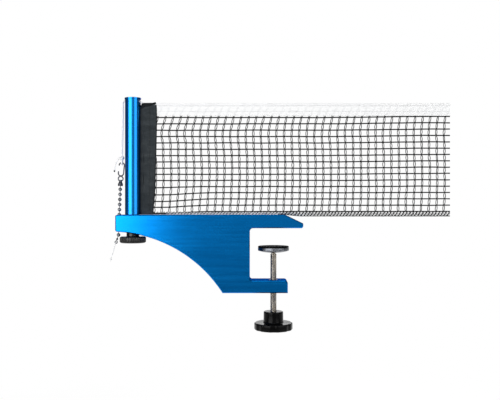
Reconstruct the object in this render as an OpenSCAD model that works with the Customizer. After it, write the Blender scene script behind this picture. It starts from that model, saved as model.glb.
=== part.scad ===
// Table tennis net clamp: one post, its clamp bracket and the first stretch of the net.
// The origin lies on the face that rests on the table top, on the clamp screw's axis.
// +X runs along the net towards the middle of the table, +Y away from the viewer, +Z up.

/* [Bracket] */
// Thickness of the bracket from face to face
bracket_depth = 28; // [20:1:40]
// Thickness of the upper jaw and of the arm above it
arm_h = 16; // [14:0.5:24]
// Reach of the arm's end beyond the post's axis
arm_reach = 19.2; // [16:0.2:28]
// Height of the arm's end
arm_end_h = 20.1; // [19:0.1:24]
// Radius of the hollow under the arm
hollow_r = 161.2; // [158:0.2:164]
// How far the hollow's centre lies beyond the arm's end
hollow_out = 6.4; // [4:0.2:9]
// Reach of the upper jaw beyond the clamp screw
nose_reach = 35.6; // [30:0.2:45]
// Height of the upper jaw's end face
nose_h = 5.8; // [4:0.2:10]
// Where the upper jaw's top starts to slope down
nose_slope_x = 14.5; // [5:0.5:20]
// Distance from the clamp screw back to the throat
throat_depth = 28.8; // [24:0.2:36]
// Height of the throat between the jaws
throat_h = 63.2; // [50:0.2:80]
// Thickness of the lower jaw
jaw_h = 15; // [10:0.5:20]
// Reach of the lower jaw beyond the clamp screw
jaw_reach = 17; // [12:0.5:30]
// Width of the bevel round both faces
bevel = 1.1; // [0.4:0.1:1.2]

/* [Clamp screw] */
// Outside diameter of the clamp screw
rod_d = 7.8; // [6:0.1:9]
// Running clearance round the clamp screw, all round
rod_clear = 0.1; // [0.05:0.01:0.15]
// Outside diameter of the threaded bush in the lower jaw
bush_d = 11; // [10:0.5:14]
// Diameter of the bush's flange
bush_flange_d = 13.6; // [12.5:0.1:17]
// Thickness of the bush's flange
bush_flange_t = 1.2; // [0.8:0.1:2]
// Free space between the table face and the pad
pad_gap = 22.2; // [12:0.1:30]

/* [Pad] */
// Diameter of the pad's cup
pad_d = 38; // [30:0.5:42]
// Thickness of the rubber facing
facing_t = 1.5; // [1:0.1:2.5]
// Height of the cup below the facing
cup_h = 6.5; // [6:0.1:8]
// Height of the cup's rim
cup_rim_h = 3.3; // [2:0.1:4]
// Diameter of the ball that carries the cup
ball_d = 6.4; // [5.6:0.1:7]
// Clearance round the ball, all round
ball_clear = 0.08; // [0.04:0.01:0.1]
// Gap between the cup and the screw's shoulder
cup_gap = 1.2; // [1:0.1:2]

/* [Knob] */
// Diameter of the knob over its lobes
knob_d = 46.8; // [40:0.2:52]
// Number of lobes
knob_lobes = 7; // [5:1:9]
// Depth of the hollows between the lobes
lobe_depth = 0.8; // [0.6:0.1:1.8]
// Height of the lobed rim
knob_rim_h = 8.8; // [7:0.1:12]
// Height of the knob from its foot to the top of its hub
knob_h = 22.5; // [20:0.5:28]
// Diameter of the knob's hub
knob_hub_d = 24.2; // [20:0.2:28]
// Distance from the table face down to the knob's foot
knob_drop = 124.3; // [122:0.1:132]

/* [Post] */
// Distance from the table's edge to the outside of the post
post_setback = 152.5; // [150:0.5:155]
// Outside diameter of the post
post_d = 19; // [18.5:0.1:19.5]
// Wall of the post
post_wall = 1.5; // [1.2:0.1:1.8]
// Height of the net above the table
net_h = 152.5; // [148:0.5:158]
// Height of the post's tube above the net
post_rise = 4.4; // [4:0.1:8]
// Gap between the arm and the foot of the post
post_gap = 0.4; // [0.3:0.05:0.6]
// Width of the rail slot in the post
rail_w = 3.2; // [2.6:0.1:4]
// Diameter of the post's cap
cap_d = 20; // [19.6:0.1:21]
// Thickness of the cap at its edge
cap_edge_t = 1.8; // [1.2:0.1:2.4]
// Height of the cap's crown
cap_crown = 1.1; // [0.6:0.1:1.6]

/* [Height adjuster] */
// Diameter of the spigot under the post
spigot_d = 14; // [12:0.5:15]
// Sliding clearance of the spigot in the arm, all round
spigot_clear = 0.05; // [0.03:0.01:0.1]
// Thickness of the floor below the spigot
floor_t = 6.1; // [5:0.1:7]
// Outside diameter of the height screw
stud_d = 7.8; // [6:0.1:8]
// Clearance round the height screw, all round
stud_clear = 0.1; // [0.08:0.01:0.2]
// Diameter of the thumb wheel
wheel_d = 31.8; // [28:0.2:33]
// Thickness of the thumb wheel
wheel_h = 7.8; // [6:0.2:10]
// Distance from the arm's underside to the thumb wheel
wheel_drop = 6; // [5.6:0.1:8]
// Number of grooves round the thumb wheel
wheel_grooves = 36; // [24:2:48]
// Diameter of the thumb wheel's hub
wheel_hub_d = 15.4; // [13:0.2:16.4]

/* [Tension chain] */
// Diameter of the chain's balls
bead_d = 4.5; // [4:0.1:4.8]
// Distance between two balls
bead_pitch = 6.2; // [6:0.1:6.6]
// Number of balls above the last one
bead_steps = 9; // [7:1:9]
// Wall of a ball
bead_wall = 0.4; // [0.3:0.05:0.5]
// Diameter of the links' pins
pin_d = 0.9; // [0.7:0.05:0.9]
// Clearance of a ball in the arm's slot, all round
slot_clear = 0.35; // [0.25:0.05:0.6]
// Lean of the chain towards the post
chain_lean = 2.2; // [1:0.1:3]
// Wire of the hook
hook_wire = 1.5; // [1.2:0.1:1.8]
// Height of the hook over its wire
hook_h = 17.6; // [15:0.2:20]
// Width of the hook over its wire
hook_w = 7.8; // [7:0.1:8]
// Lean of the hook towards the post
hook_lean = 6; // [3:0.5:7]
// Lean of the chain's end away from the thumb wheel
tail_lean = 18; // [12:0.5:18]

/* [Net] */
// Length of the net from the side band to its cut end
net_len = 358; // [200:1:400]
// Height of the white tape
tape_h = 15.5; // [12:0.5:18]
// Thickness of the white tape
tape_t = 1.2; // [0.8:0.1:2]
// Distance between two level strands, evened out so that they fill the net's height
row_pitch = 7.76; // [7:0.02:12]
// Distance between two upright strands
column_pitch = 19; // [19:0.5:30]
// Width of a strand
strand_w = 1.1; // [0.8:0.1:1.6]
// Thickness of a strand
strand_t = 1; // [0.8:0.1:1.6]
// Width of the side band
band_w = 19.8; // [15:0.2:24]
// Thickness of the side band
band_t = 1.6; // [1.2:0.1:2]
// Diameter of the rod that holds the side band in the rail
rail_rod_d = 5; // [4:0.1:5.4]
// Diameter of the tension cord
cord_d = 2.2; // [1.8:0.1:2.4]

/* [Hidden] */
$fn = 96;
soft_gap = 0.3;         // clearance between a soft piece and its neighbours
over = 1;               // how far a cutter runs past the face it cuts

// Bracket outline: x along the net, y up
post_x = -throat_depth - post_setback + post_d / 2;
arm_end_x = post_x - arm_reach;
hollow_c = [arm_end_x - hollow_out, arm_h - arm_end_h - hollow_r];
jaw_floor_z = -throat_h - jaw_h;
end_foot_r = 2.5;
end_foot_z = hollow_c.y + sqrt(pow(hollow_r, 2) - pow(hollow_out + end_foot_r, 2));
jaw_heel_x = hollow_c.x + sqrt(pow(hollow_r, 2) - pow(jaw_floor_z - hollow_c.y, 2));
end_top_r = 2;
slope_r = 12;
slope_steps = 6;        // flats in each rounding of the slope
nose_top_r = 1.4;
nose_foot_r = 2.5;
throat_top_r = 4;
throat_foot_r = 3;
jaw_tip_r = 3.5;

// Post and height adjuster
post_bore_r = post_d / 2 - post_wall;
post_foot_z = arm_h + post_gap;
post_top_z = net_h + post_rise;
arm_under_z = hollow_c.y + sqrt(pow(hollow_r, 2) - pow(post_x - hollow_c.x, 2));
seat_sink = 1.6;        // depth of the flat seat cut into the arm's curved underside
seat_z = arm_under_z + seat_sink;
seat_d = wheel_hub_d + 1.2;
spigot_floor_z = seat_z + floor_t;
wheel_top_z = seat_z - wheel_drop;
wheel_foot_z = wheel_top_z - wheel_h;
clip_t = 1;
clip_lift = 0.2;        // end play of the height screw below its clip
clip_room = 0.3;        // gap between the clip and the lowered spigot
clip_z = spigot_floor_z + clip_lift;
spigot_foot_z = clip_z + clip_t + clip_room;
insert_clear = 0.1;
insert_h = 11.5;
insert_top_z = post_foot_z + insert_h;
stud_top_z = insert_top_z - 2;

// Clamp screw and pad
cup_top_z = -pad_gap - facing_t;
cup_foot_z = cup_top_z - cup_h;
ball_rise = 1.9;        // the ball's centre above the cup's foot, so the cup's mouth holds it
ball_z = cup_foot_z + ball_rise;
ball_neck_d = 4.4;
rod_top_z = cup_foot_z - cup_gap;
spindle_d = 4;
spindle_h = 6;
spindle_clear = 0.05;
knob_foot_z = -knob_drop;
rod_seat_h = 5;

// Tension cord, hook and chain
cord_r = cord_d / 2;
cord_cover = 0.4;       // the tape's cloth over the cord
cord_z = net_h - cord_r - cord_cover;
guide_drop = 2.3;       // the cord's centre below the rim of the post
cord_top_z = post_top_z - guide_drop;
guide_r = cord_r + 0.3;
bead_r = bead_d / 2;
chain_clear = 1.5;      // from the thumb wheel's rim out to the chain's centre line at its foot
chain_foot = [post_x - wheel_d / 2 - chain_clear, arm_h - arm_end_h];
chain_dir = [sin(chain_lean), cos(chain_lean)];
last_bead_s = -4.6;     // distances along the chain, s, count up from the arm's foot
top_bead_s = last_bead_s + bead_steps * bead_pitch;
// Two pin heads meet inside each ball, just clear of each other and of its wall
cavity_r = bead_r - bead_wall;
head_play = 0.05;
head_r = (cavity_r - head_play) / 2 - head_play;
head_s = cavity_r - head_play - head_r;
pin_hole_r = head_r - head_play;
slot_end_x = chain_foot.x + 0.8;
slot_r = bead_r + slot_clear;
neck_w = pin_d + 1.3;
neck_len = 5.4;
bell_foot_s = top_bead_s + 4;
bell_h = 3.1;
bell_d = 6;
eye_r = 2.9;
eye_s = bell_foot_s + 9;
eye_c = chain_foot + eye_s * chain_dir;
hook_arc_r = (hook_w - hook_wire) / 2;
hook_straight = hook_h - hook_w;
hook_foot = eye_c + [0, eye_r + 0.4 * hook_wire];
hook_top = hook_foot + (hook_h - hook_wire) * [sin(hook_lean), cos(hook_lean)];
tail_bend = tail_lean - chain_lean;
tail_string_d = 0.8;
tail_len = 31;
tail_ring_s = 9.3;
tail_ring_r = 1.5;
tail_wire = 1;

// Net
band_x = post_x + post_d / 2 + soft_gap;
band_end_x = band_x + band_w;
band_mouth_x = band_x + 4.5;    // where the cord leaves the band's rolled top
net_end_x = band_end_x + net_len;
tape_foot_z = net_h - tape_h;
first_row_z = tape_foot_z - strand_w / 2 - 0.1;
hem_h = 3.2;
hem_t = 2.4;
hem_gap = 0.2;          // between the hem and the arm below it
last_row_z = arm_h + hem_gap + hem_h + strand_w / 2;
net_rows = round((first_row_z - last_row_z) / row_pitch) + 1;
row_step = (first_row_z - last_row_z) / (net_rows - 1);
sleeve_t = 0.6;
rail_rod_x = post_x + post_bore_r - soft_gap - sleeve_t - rail_rod_d / 2;
rail_rod_foot_z = insert_top_z + 1;
rail_rod_top_z = net_h - 5;

// ---- shared shapes ----

function unit(v) = v / norm(v);
function half_angle(p, a, b) = acos(unit(a - p) * unit(b - p)) / 2;
function corner_reach(p, a, b, r) = r / tan(half_angle(p, a, b));
function corner_centre(p, a, b, r) =
    p + unit(unit(a - p) + unit(b - p)) * r / sin(half_angle(p, a, b));

// Where a corner p's rounding starts, its centre, and where it ends.
function rounding(p, a, b, r) = [
    p + unit(a - p) * corner_reach(p, a, b, r),
    corner_centre(p, a, b, r),
    p + unit(b - p) * corner_reach(p, a, b, r)
];

// Points along such a rounding.
function arc_points(k, steps) =
    let (from = k[0] - k[1], to = k[2] - k[1], a = atan2(from.y, from.x), b = atan2(to.y, to.x))
    [for (i = [0:steps]) k[1] + norm(from) * [cos(a + (b - a) * i / steps), sin(a + (b - a) * i / steps)]];

// The patch between a corner p, whose edges run to a and b, and its rounding.
module corner_patch(p, a, b, r) {
    k = rounding(p, a, b, r);
    difference() {
        polygon([p, k[0], k[1], k[2]]);
        translate(k[1]) circle(r);
    }
}

// Turns an outline drawn with y up into one that stands along X and Z, centred on Y = 0.
module upright(depth) {
    rotate([90, 0, 0]) translate([0, 0, -depth / 2]) linear_extrude(depth) children();
}

// Section of the bar that cuts a bevel: x into the solid from its edge, y in from its face.
// It runs past both, so that its slanting side alone cuts.
bevel_past = 0.15;
function bevel_section(x0, dir) = [
    [x0 - dir * bevel_past, -bevel_past],
    [x0 + dir * (bevel + bevel_past), -bevel_past],
    [x0 - dir * bevel_past, bevel + bevel_past]
];

// Cuts the bevel along the edge from a to b, with the solid on the right of that way.
module edge_cutter(a, b) {
    translate([a.x, 0, a.y]) rotate([0, -atan2(b.y - a.y, b.x - a.x), 0]) rotate([90, 0, 90])
        translate([bracket_depth / 2, 0]) mirror([1, 0]) linear_extrude(norm(b - a))
        polygon([for (p = bevel_section(0, 1)) [p.y, -p.x]]);
}

// Cuts the bevel along an arc of radius r round c, with the solid inside it or outside it.
module arc_cutter(c, r, inside, start, sweep) {
    translate([c.x, bracket_depth / 2, c.y]) rotate([90, 0, 0]) rotate(start)
        rotate_extrude(angle = sweep) polygon(bevel_section(r, inside ? -1 : 1));
}

// The arc's start and sweep round corner k, turning the shorter way.
function arc_start(k) =
    let (from = k[0] - k[1], to = k[2] - k[1], turn = from.x * to.y - from.y * to.x)
    turn > 0 ? atan2(from.y, from.x) : atan2(to.y, to.x);
function arc_sweep(k) = acos(unit(k[0] - k[1]) * unit(k[2] - k[1]));

// A tube along a list of points, with flat ends square to its first and last stretch.
function heading(pts, i) =
    i == 0 ? unit(pts[1] - pts[0])
    : i == len(pts) - 1 ? unit(pts[i] - pts[i - 1])
    : unit(unit(pts[i] - pts[i - 1]) + unit(pts[i + 1] - pts[i]));
function ring_point(pts, i, side, a) =
    let (h = heading(pts, i), u = unit(cross(h, side)), v = cross(u, h)) cos(a) * u + sin(a) * v;

module swept_cord(pts, r, side, sides) {
    last = len(pts) - 1;
    rings = [for (i = [0:last]) for (k = [0:sides - 1])
        pts[i] + r * ring_point(pts, i, side, 360 * k / sides)];
    walls = [for (i = [0:last - 1]) for (k = [0:sides - 1])
        let (n = (k + 1) % sides, a = i * sides)
        each [[a + k, a + n, a + sides + k], [a + n, a + sides + n, a + sides + k]]];
    foot = [for (k = [1:sides - 2]) [0, k + 1, k]];
    head = [for (k = [1:sides - 2]) [last * sides, last * sides + k, last * sides + k + 1]];
    polyhedron(points = rings, faces = concat(walls, foot, head));
}

// ---- bracket ----

end_top = [arm_end_x, arm_h];
slope_top = [nose_slope_x, arm_h];
nose_top = [nose_reach, nose_h];
nose_foot = [nose_reach, 0];
throat_top = [-throat_depth, 0];
throat_foot = [-throat_depth, -throat_h];
jaw_tip = [jaw_reach, -throat_h];
jaw_foot = [jaw_reach, jaw_floor_z];
jaw_heel = [jaw_heel_x, jaw_floor_z];
end_foot = [arm_end_x, end_foot_z];
along_arm = end_foot + [10, 0];

// Each rounded corner in order round the outline, as corner, neighbour, neighbour and radius
corners = [
    [end_top, end_foot, slope_top, end_top_r],
    [slope_top, end_top, nose_top, slope_r],
    [nose_top, slope_top, nose_foot, nose_top_r],
    [nose_foot, nose_top, throat_top, nose_foot_r],
    [throat_top, nose_foot, throat_foot, throat_top_r],
    [throat_foot, throat_top, jaw_tip, throat_foot_r],
    [jaw_tip, throat_foot, jaw_foot, jaw_tip_r],
    [end_foot, end_top, along_arm, end_foot_r]
];
roundings = [for (k = corners) rounding(k[0], k[1], k[2], k[3])];
end_foot_round = roundings[7];

// The slope with its two stepped roundings, and the line from the arm's end over it to the nose
slope_pts = concat(arc_points(roundings[1], slope_steps), arc_points(roundings[2], slope_steps));
top_line = concat([roundings[0][2]], slope_pts, [roundings[3][0]]);
top_last = len(top_line) - 1;

// Each straight edge between roundings; those of the top line cross at its steps
function stretched(p, q, share) = q + unit(q - p) * bevel_past * share;
straight_edges = [
    for (k = [1:top_last])
        let (p = top_line[k - 1], q = top_line[k])
        [stretched(q, p, k == 1 ? 0 : 1), stretched(p, q, k == top_last ? 0 : 1)],
    for (k = [3:5]) [roundings[k][2], roundings[k + 1][0]],
    [roundings[6][2], jaw_foot + [0, -over]],
    [jaw_foot + [over, 0], jaw_heel + [-over, 0]],
    [end_foot_round[0], roundings[0][0]]
];

module bracket_outline() {
    difference() {
        polygon(concat(
            [end_top], slope_pts,
            [nose_foot, throat_top, throat_foot, jaw_tip, jaw_foot, [arm_end_x, jaw_floor_z]]
        ));
        translate(hollow_c) circle(hollow_r);
        for (k = [0, 3, 6, 7]) corner_patch(corners[k][0], corners[k][1], corners[k][2], corners[k][3]);
    }
    for (k = [4, 5]) corner_patch(corners[k][0], corners[k][1], corners[k][2], corners[k][3]);
}

// The chain's way through the arm: a mouth that lets the balls run, and a neck that locks one.
module chain_slot() {
    translate([0, 0, arm_h - arm_end_h - over]) linear_extrude(arm_end_h + 2 * over) {
        translate([arm_end_x - over, -slot_r]) square([slot_end_x - arm_end_x + over, 2 * slot_r]);
        translate([slot_end_x, 0]) circle(slot_r);
        translate([slot_end_x, -neck_w / 2]) square([neck_len, neck_w]);
        translate([slot_end_x + neck_len, 0]) circle(neck_w / 2);
    }
}

// The bevel round the bracket's far face
module face_bevel() {
    foot = end_foot_round[2] - hollow_c;
    heel = jaw_heel - hollow_c;
    arc_past = 0.1;
    heel_angle = atan2(heel.y, heel.x) - 1;
    for (e = straight_edges) edge_cutter(e[0], e[1]);
    for (k = [0, 3, 4, 5, 6, 7])
        arc_cutter(roundings[k][1], corners[k][3], k != 4 && k != 5,
            arc_start(roundings[k]), arc_sweep(roundings[k]));
    arc_cutter(hollow_c, hollow_r, false, heel_angle,
        atan2(foot.y, foot.x) + arc_past - heel_angle);
}

module bracket() {
    color("deepskyblue") difference() {
        upright(bracket_depth) bracket_outline();
        face_bevel();
        mirror([0, 1, 0]) face_bevel();
        translate([post_x, 0, spigot_floor_z]) cylinder(r = spigot_d / 2 + spigot_clear, h = arm_h);
        translate([post_x, 0, seat_z - over]) cylinder(r = stud_d / 2 + stud_clear, h = arm_end_h);
        translate([post_x, 0, seat_z - seat_d]) cylinder(d = seat_d, h = seat_d);
        translate([0, 0, jaw_floor_z - over]) cylinder(d = bush_d, h = jaw_h + 2 * over);
        chain_slot();
    }
}

module jaw_bush() {
    color("#1c2a44") difference() {
        union() {
            translate([0, 0, jaw_floor_z]) cylinder(d = bush_d, h = jaw_h - 0.2);
            translate([0, 0, jaw_floor_z - bush_flange_t])
                cylinder(d1 = bush_flange_d - 1, d2 = bush_flange_d, h = bush_flange_t);
        }
        translate([0, 0, jaw_floor_z - bush_flange_t - over])
            cylinder(r = rod_d / 2 + rod_clear, h = jaw_h + bush_flange_t + 2 * over);
    }
}

// ---- clamp screw ----

rod_foot_z = knob_foot_z + rod_seat_h;

module clamp_rod() {
    chamfer = 0.8;
    color("#8c8274") difference() {
        translate([0, 0, rod_foot_z]) union() {
            cylinder(d = rod_d, h = rod_top_z - rod_foot_z - chamfer);
            translate([0, 0, rod_top_z - rod_foot_z - chamfer])
                cylinder(d1 = rod_d, d2 = rod_d - 2 * chamfer, h = chamfer);
        }
        translate([0, 0, rod_top_z - spindle_h])
            cylinder(r = spindle_d / 2 + spindle_clear, h = spindle_h + over);
    }
}

module clamp_knob() {
    scallop_r = 9;
    edge = 1;
    hub_edge = 1.2;
    recess_d = 28;
    recess_h = 1.4;
    rim_r = knob_d / 2;
    color("#151515") difference() {
        union() {
            intersection() {
                difference() {
                    cylinder(r = rim_r, h = knob_rim_h);
                    for (k = [0:knob_lobes - 1]) rotate(270 + 360 * k / knob_lobes)
                        translate([rim_r + scallop_r - lobe_depth, 0, -over])
                        cylinder(r = scallop_r, h = knob_rim_h + 2 * over);
                }
                rotate_extrude() polygon([
                    [0, 0], [rim_r - 2 * edge, 0], [rim_r - edge * 0.6, edge * 0.5],
                    [rim_r, edge * 1.2], [rim_r, knob_rim_h - 0.8], [rim_r - 0.8, knob_rim_h],
                    [0, knob_rim_h]
                ]);
            }
            rotate_extrude() polygon([
                [0, knob_rim_h - over], [knob_hub_d / 2, knob_rim_h - over],
                [knob_hub_d / 2, knob_h - hub_edge],
                [knob_hub_d / 2 - hub_edge * 0.3, knob_h - hub_edge * 0.3],
                [knob_hub_d / 2 - hub_edge, knob_h], [0, knob_h]
            ]);
        }
        translate([0, 0, -over]) cylinder(d = recess_d, h = recess_h + over);
        translate([0, 0, rod_seat_h]) cylinder(d = rod_d, h = knob_h);
    }
}

module clamp_knob_in_place() {
    translate([0, 0, knob_foot_z]) clamp_knob();
}

module ball_end() {
    color("#9a9a9a") {
        translate([0, 0, ball_z]) sphere(d = ball_d);
        translate([0, 0, rod_top_z]) cylinder(d = ball_neck_d, h = ball_z - rod_top_z);
        translate([0, 0, rod_top_z - spindle_h + 0.5]) cylinder(d = spindle_d, h = spindle_h);
    }
}

module pad_cup() {
    lip = 0.9;
    hub_d = 13;
    color("#8d9296") difference() {
        rotate_extrude() polygon([
            [0, cup_top_z], [pad_d / 2 - lip, cup_top_z], [pad_d / 2, cup_top_z - lip * 0.6],
            [pad_d / 2, cup_top_z - cup_rim_h], [pad_d / 2 - lip, cup_top_z - cup_rim_h - lip],
            [pad_d / 4 + hub_d / 4, cup_foot_z + 0.9], [hub_d / 2, cup_foot_z], [0, cup_foot_z]
        ]);
        translate([0, 0, ball_z]) sphere(r = ball_d / 2 + ball_clear);
    }
}

module pad_facing() {
    inset = 0.2;
    round_r = 0.6;
    color("#101010") rotate_extrude() union() {
        translate([0, cup_top_z]) square([pad_d / 2 - inset - round_r, facing_t]);
        translate([0, cup_top_z]) square([pad_d / 2 - inset, facing_t - round_r]);
        translate([pad_d / 2 - inset - round_r, cup_top_z + facing_t - round_r]) circle(round_r);
    }
}

// ---- height adjuster ----

module height_wheel() {
    groove_r = 0.55;
    edge = 1.2;
    rim_r = wheel_d / 2;
    color("#181818") translate([post_x, 0, 0]) difference() {
        union() {
            intersection() {
                translate([0, 0, wheel_foot_z]) difference() {
                    cylinder(r = rim_r, h = wheel_h);
                    for (k = [0:wheel_grooves - 1]) rotate(360 * k / wheel_grooves)
                        translate([rim_r + groove_r * 0.3, 0, -over])
                        cylinder(r = groove_r, h = wheel_h + 2 * over, $fn = 24);
                }
                rotate_extrude() polygon([
                    [0, wheel_foot_z], [rim_r - edge, wheel_foot_z], [rim_r, wheel_foot_z + edge],
                    [rim_r, wheel_top_z - edge], [rim_r - edge, wheel_top_z], [0, wheel_top_z]
                ]);
            }
            translate([0, 0, wheel_top_z - over])
                cylinder(d = wheel_hub_d, h = wheel_drop + over - soft_gap);
        }
        translate([0, 0, wheel_foot_z + 2]) cylinder(d = stud_d, h = wheel_h + wheel_drop);
    }
}

module height_screw() {
    groove = 0.8;
    color("#9c9c9c") translate([post_x, 0, 0]) difference() {
        translate([0, 0, wheel_foot_z + 2]) cylinder(d = stud_d, h = stud_top_z - wheel_foot_z - 2);
        translate([0, 0, clip_z]) difference() {
            cylinder(d = stud_d + 2, h = clip_t);
            translate([0, 0, -over]) cylinder(d = stud_d - 2 * groove, h = clip_t + 2 * over);
        }
    }
}

module height_clip() {
    rim = 1.9;
    groove = 0.8;
    play = 0.05;
    color("#6f6f6f") translate([post_x, 0, clip_z + play]) linear_extrude(clip_t - 2 * play)
        difference() {
            circle(d = stud_d + 2 * rim);
            circle(d = stud_d - 2 * groove + 2 * play);
            translate([0, -(stud_d / 2 - groove) * 0.8]) square([stud_d, (stud_d - 2 * groove) * 0.8]);
        }
}

module post_foot() {
    key_w = rail_w + 0.6;
    color("#3a3d40") translate([post_x, 0, 0]) difference() {
        union() {
            translate([0, 0, post_foot_z]) cylinder(r = post_bore_r - insert_clear, h = insert_h);
            translate([0, 0, spigot_foot_z]) cylinder(d = spigot_d, h = post_foot_z - spigot_foot_z + 1);
        }
        translate([0, 0, spigot_foot_z - over])
            cylinder(r = stud_d / 2 + stud_clear, h = arm_h + insert_h + 2 * over);
        translate([post_bore_r - 1, -key_w / 2, post_foot_z - over])
            cube([over + 1, key_w, insert_h + 2 * over]);
    }
}

// ---- post ----

module post_tube() {
    notch_r = 2.1;
    color("#0b7fd0") translate([post_x, 0, 0]) difference() {
        translate([0, 0, post_foot_z]) cylinder(d = post_d, h = post_top_z - post_foot_z);
        translate([0, 0, post_foot_z - over]) cylinder(r = post_bore_r, h = post_top_z);
        translate([0, -rail_w / 2, post_foot_z - over]) cube([post_d, rail_w, post_top_z]);
        translate([post_d / 2 + 0.2, 0, cord_top_z + 0.2]) rotate([90, 0, 0])
            cylinder(r = notch_r, h = post_d, center = true);
        translate([-post_d, 0, cord_top_z]) rotate([0, 90, 0]) cylinder(r = guide_r, h = post_d);
    }
}

module post_cap() {
    crown_r = (pow(cap_d / 2, 2) + pow(cap_crown, 2)) / (2 * cap_crown);
    plug_h = post_top_z - rail_rod_top_z - 0.6;
    channel_w = 2 * guide_r + 1.2;
    color("#0a74c4") translate([post_x, 0, 0]) difference() {
        union() {
            translate([0, 0, post_top_z]) cylinder(d = cap_d, h = cap_edge_t);
            intersection() {
                translate([0, 0, post_top_z + cap_edge_t]) cylinder(d = cap_d, h = cap_crown + over);
                translate([0, 0, post_top_z + cap_edge_t + cap_crown - crown_r]) sphere(crown_r);
            }
            translate([0, 0, post_top_z - plug_h])
                cylinder(r = post_bore_r - insert_clear, h = plug_h + over);
        }
        translate([-post_d, -channel_w / 2, post_top_z - plug_h - over])
            cube([2 * post_d, channel_w, plug_h + over - 0.4]);
    }
}

module rail_rod() {
    color("#d8d8d8") translate([rail_rod_x, 0, rail_rod_foot_z])
        cylinder(d = rail_rod_d, h = rail_rod_top_z - rail_rod_foot_z);
}

// ---- net ----

// The band's outline. It hangs down to the arm and draws in towards its foot. Its top rises to
// a peak on the net's side, and at the post its corner is cut where the cord leaves it.
module band_outline() {
    foot_z = arm_h + post_gap;
    low_bend = 28;
    high_bend = 66;
    peak = 1.4;
    cut_z = cord_z - cord_r - soft_gap;
    polygon([
        [band_x, foot_z], [band_end_x - 4.4, foot_z], [band_end_x - 2.4, foot_z + low_bend],
        [band_end_x - 1.2, foot_z + high_bend], [band_end_x, tape_foot_z], [band_end_x - 0.4, net_h - 4],
        [band_end_x - 1.7, net_h + peak], [band_end_x - 2.6, net_h + peak],
        [band_end_x - 6, net_h], [band_mouth_x, net_h], [band_mouth_x, cut_z],
        [band_x + 1.5, cut_z + 1.1], [band_x + 0.6, cut_z + 1.6], [band_x, cut_z + 0.6]
    ]);
}

module side_band() {
    sleeve_h = rail_rod_top_z - rail_rod_foot_z;
    sleeve_r = rail_rod_d / 2 + sleeve_t;
    stem_x = rail_rod_x + sleeve_r - sleeve_t / 2;
    color("#33383c") difference() {
        union() {
            upright(band_t) band_outline();
            translate([band_mouth_x, 0, cord_z]) rotate([0, 90, 0])
                cylinder(r = guide_r + 0.3, h = band_end_x - 1 - band_mouth_x);
            translate([rail_rod_x, 0, rail_rod_foot_z]) cylinder(r = sleeve_r, h = sleeve_h);
            translate([stem_x, -band_t / 2, rail_rod_foot_z])
                cube([band_x - stem_x + over, band_t, sleeve_h]);
        }
        translate([rail_rod_x, 0, rail_rod_foot_z - over])
            cylinder(d = rail_rod_d, h = sleeve_h + 2 * over);
        translate([band_mouth_x - over, 0, cord_z]) rotate([0, 90, 0])
            cylinder(r = cord_r + 0.1, h = band_w + 2 * over);
    }
}

module net_mesh() {
    start_x = band_end_x + soft_gap;
    hem_top_z = last_row_z - strand_w / 2;
    last_column_x = net_end_x - 7;
    columns = floor((last_column_x - start_x) / column_pitch);
    color("#202020") upright(strand_t) {
        for (k = [0:net_rows - 1])
            translate([start_x, first_row_z - k * row_step - strand_w / 2])
            square([net_end_x - start_x, strand_w]);
        for (k = [0:columns])
            translate([last_column_x - k * column_pitch - strand_w / 2, hem_top_z])
            square([strand_w, first_row_z - hem_top_z]);
    }
}

module net_tape() {
    start_x = band_end_x + soft_gap;
    seam_r = guide_r + 0.1;
    color("white") difference() {
        union() {
            translate([start_x, -tape_t / 2, tape_foot_z])
                cube([net_end_x - start_x, tape_t, tape_h - cord_r]);
            translate([start_x, 0, cord_z]) rotate([0, 90, 0])
                cylinder(r = seam_r, h = net_end_x - start_x);
        }
        translate([start_x - over, 0, cord_z]) rotate([0, 90, 0])
            cylinder(r = cord_r + 0.1, h = net_end_x - start_x + 2 * over);
    }
}

// The hem lies level over the bracket and sags a little past its end.
module net_hem() {
    start_x = band_end_x + soft_gap;
    top_z = last_row_z - strand_w / 2;
    sag = 1.6;
    sag_run = 40;           // length over which the hem comes down
    level_x = nose_slope_x;
    color("#a8a8a8") upright(hem_t) polygon([
        [start_x, top_z], [net_end_x, top_z], [net_end_x, top_z - hem_h - sag],
        [level_x + sag_run, top_z - hem_h - sag], [level_x, top_z - hem_h], [start_x, top_z - hem_h]
    ]);
}

// ---- tension cord ----

// The bend from the tape up into the post's notch, through the post and out of its guide hole
cord_exit_x = post_x - post_d / 2 - 0.4;
cord_bend = [
    [band_mouth_x + 1, 0, cord_z], [band_mouth_x - 0.5, 0, cord_z + 0.1],
    [band_mouth_x - 1.5, 0, cord_z + 0.6], [band_x, 0, cord_top_z - 1],
    [band_x - 1.5, 0, cord_top_z - 0.3], [band_x - 3.5, 0, cord_top_z], [cord_exit_x, 0, cord_top_z]
];

// The same cord goes on a hair's breadth outside the hole and turns down over its edge
drop_start_x = cord_exit_x - 0.15;
drop_turn_c = [drop_start_x - 0.25, cord_top_z - 1.8];
drop_turn_r = cord_top_z - drop_turn_c.y;
drop_pts = concat(
    [[drop_start_x, 0, cord_top_z]],
    [for (a = [0:22.5:90])
        [drop_turn_c.x - drop_turn_r * sin(a), 0, drop_turn_c.y + drop_turn_r * cos(a)]],
    [[drop_turn_c.x - drop_turn_r, 0, cord_top_z - 10], [hook_top.x, 0, hook_top.y + 8.4]]
);

module head_cord() {
    color("white") {
        translate([cord_bend[0].x, 0, cord_z]) rotate([0, 90, 0])
            cylinder(d = cord_d, h = net_end_x - cord_bend[0].x, $fn = 48);
        swept_cord(cord_bend, cord_r, [0, 1, 0], 10);
    }
}

module cord_drop() {
    color("white") swept_cord(drop_pts, cord_r, [0, 1, 0], 10);
}

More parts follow.
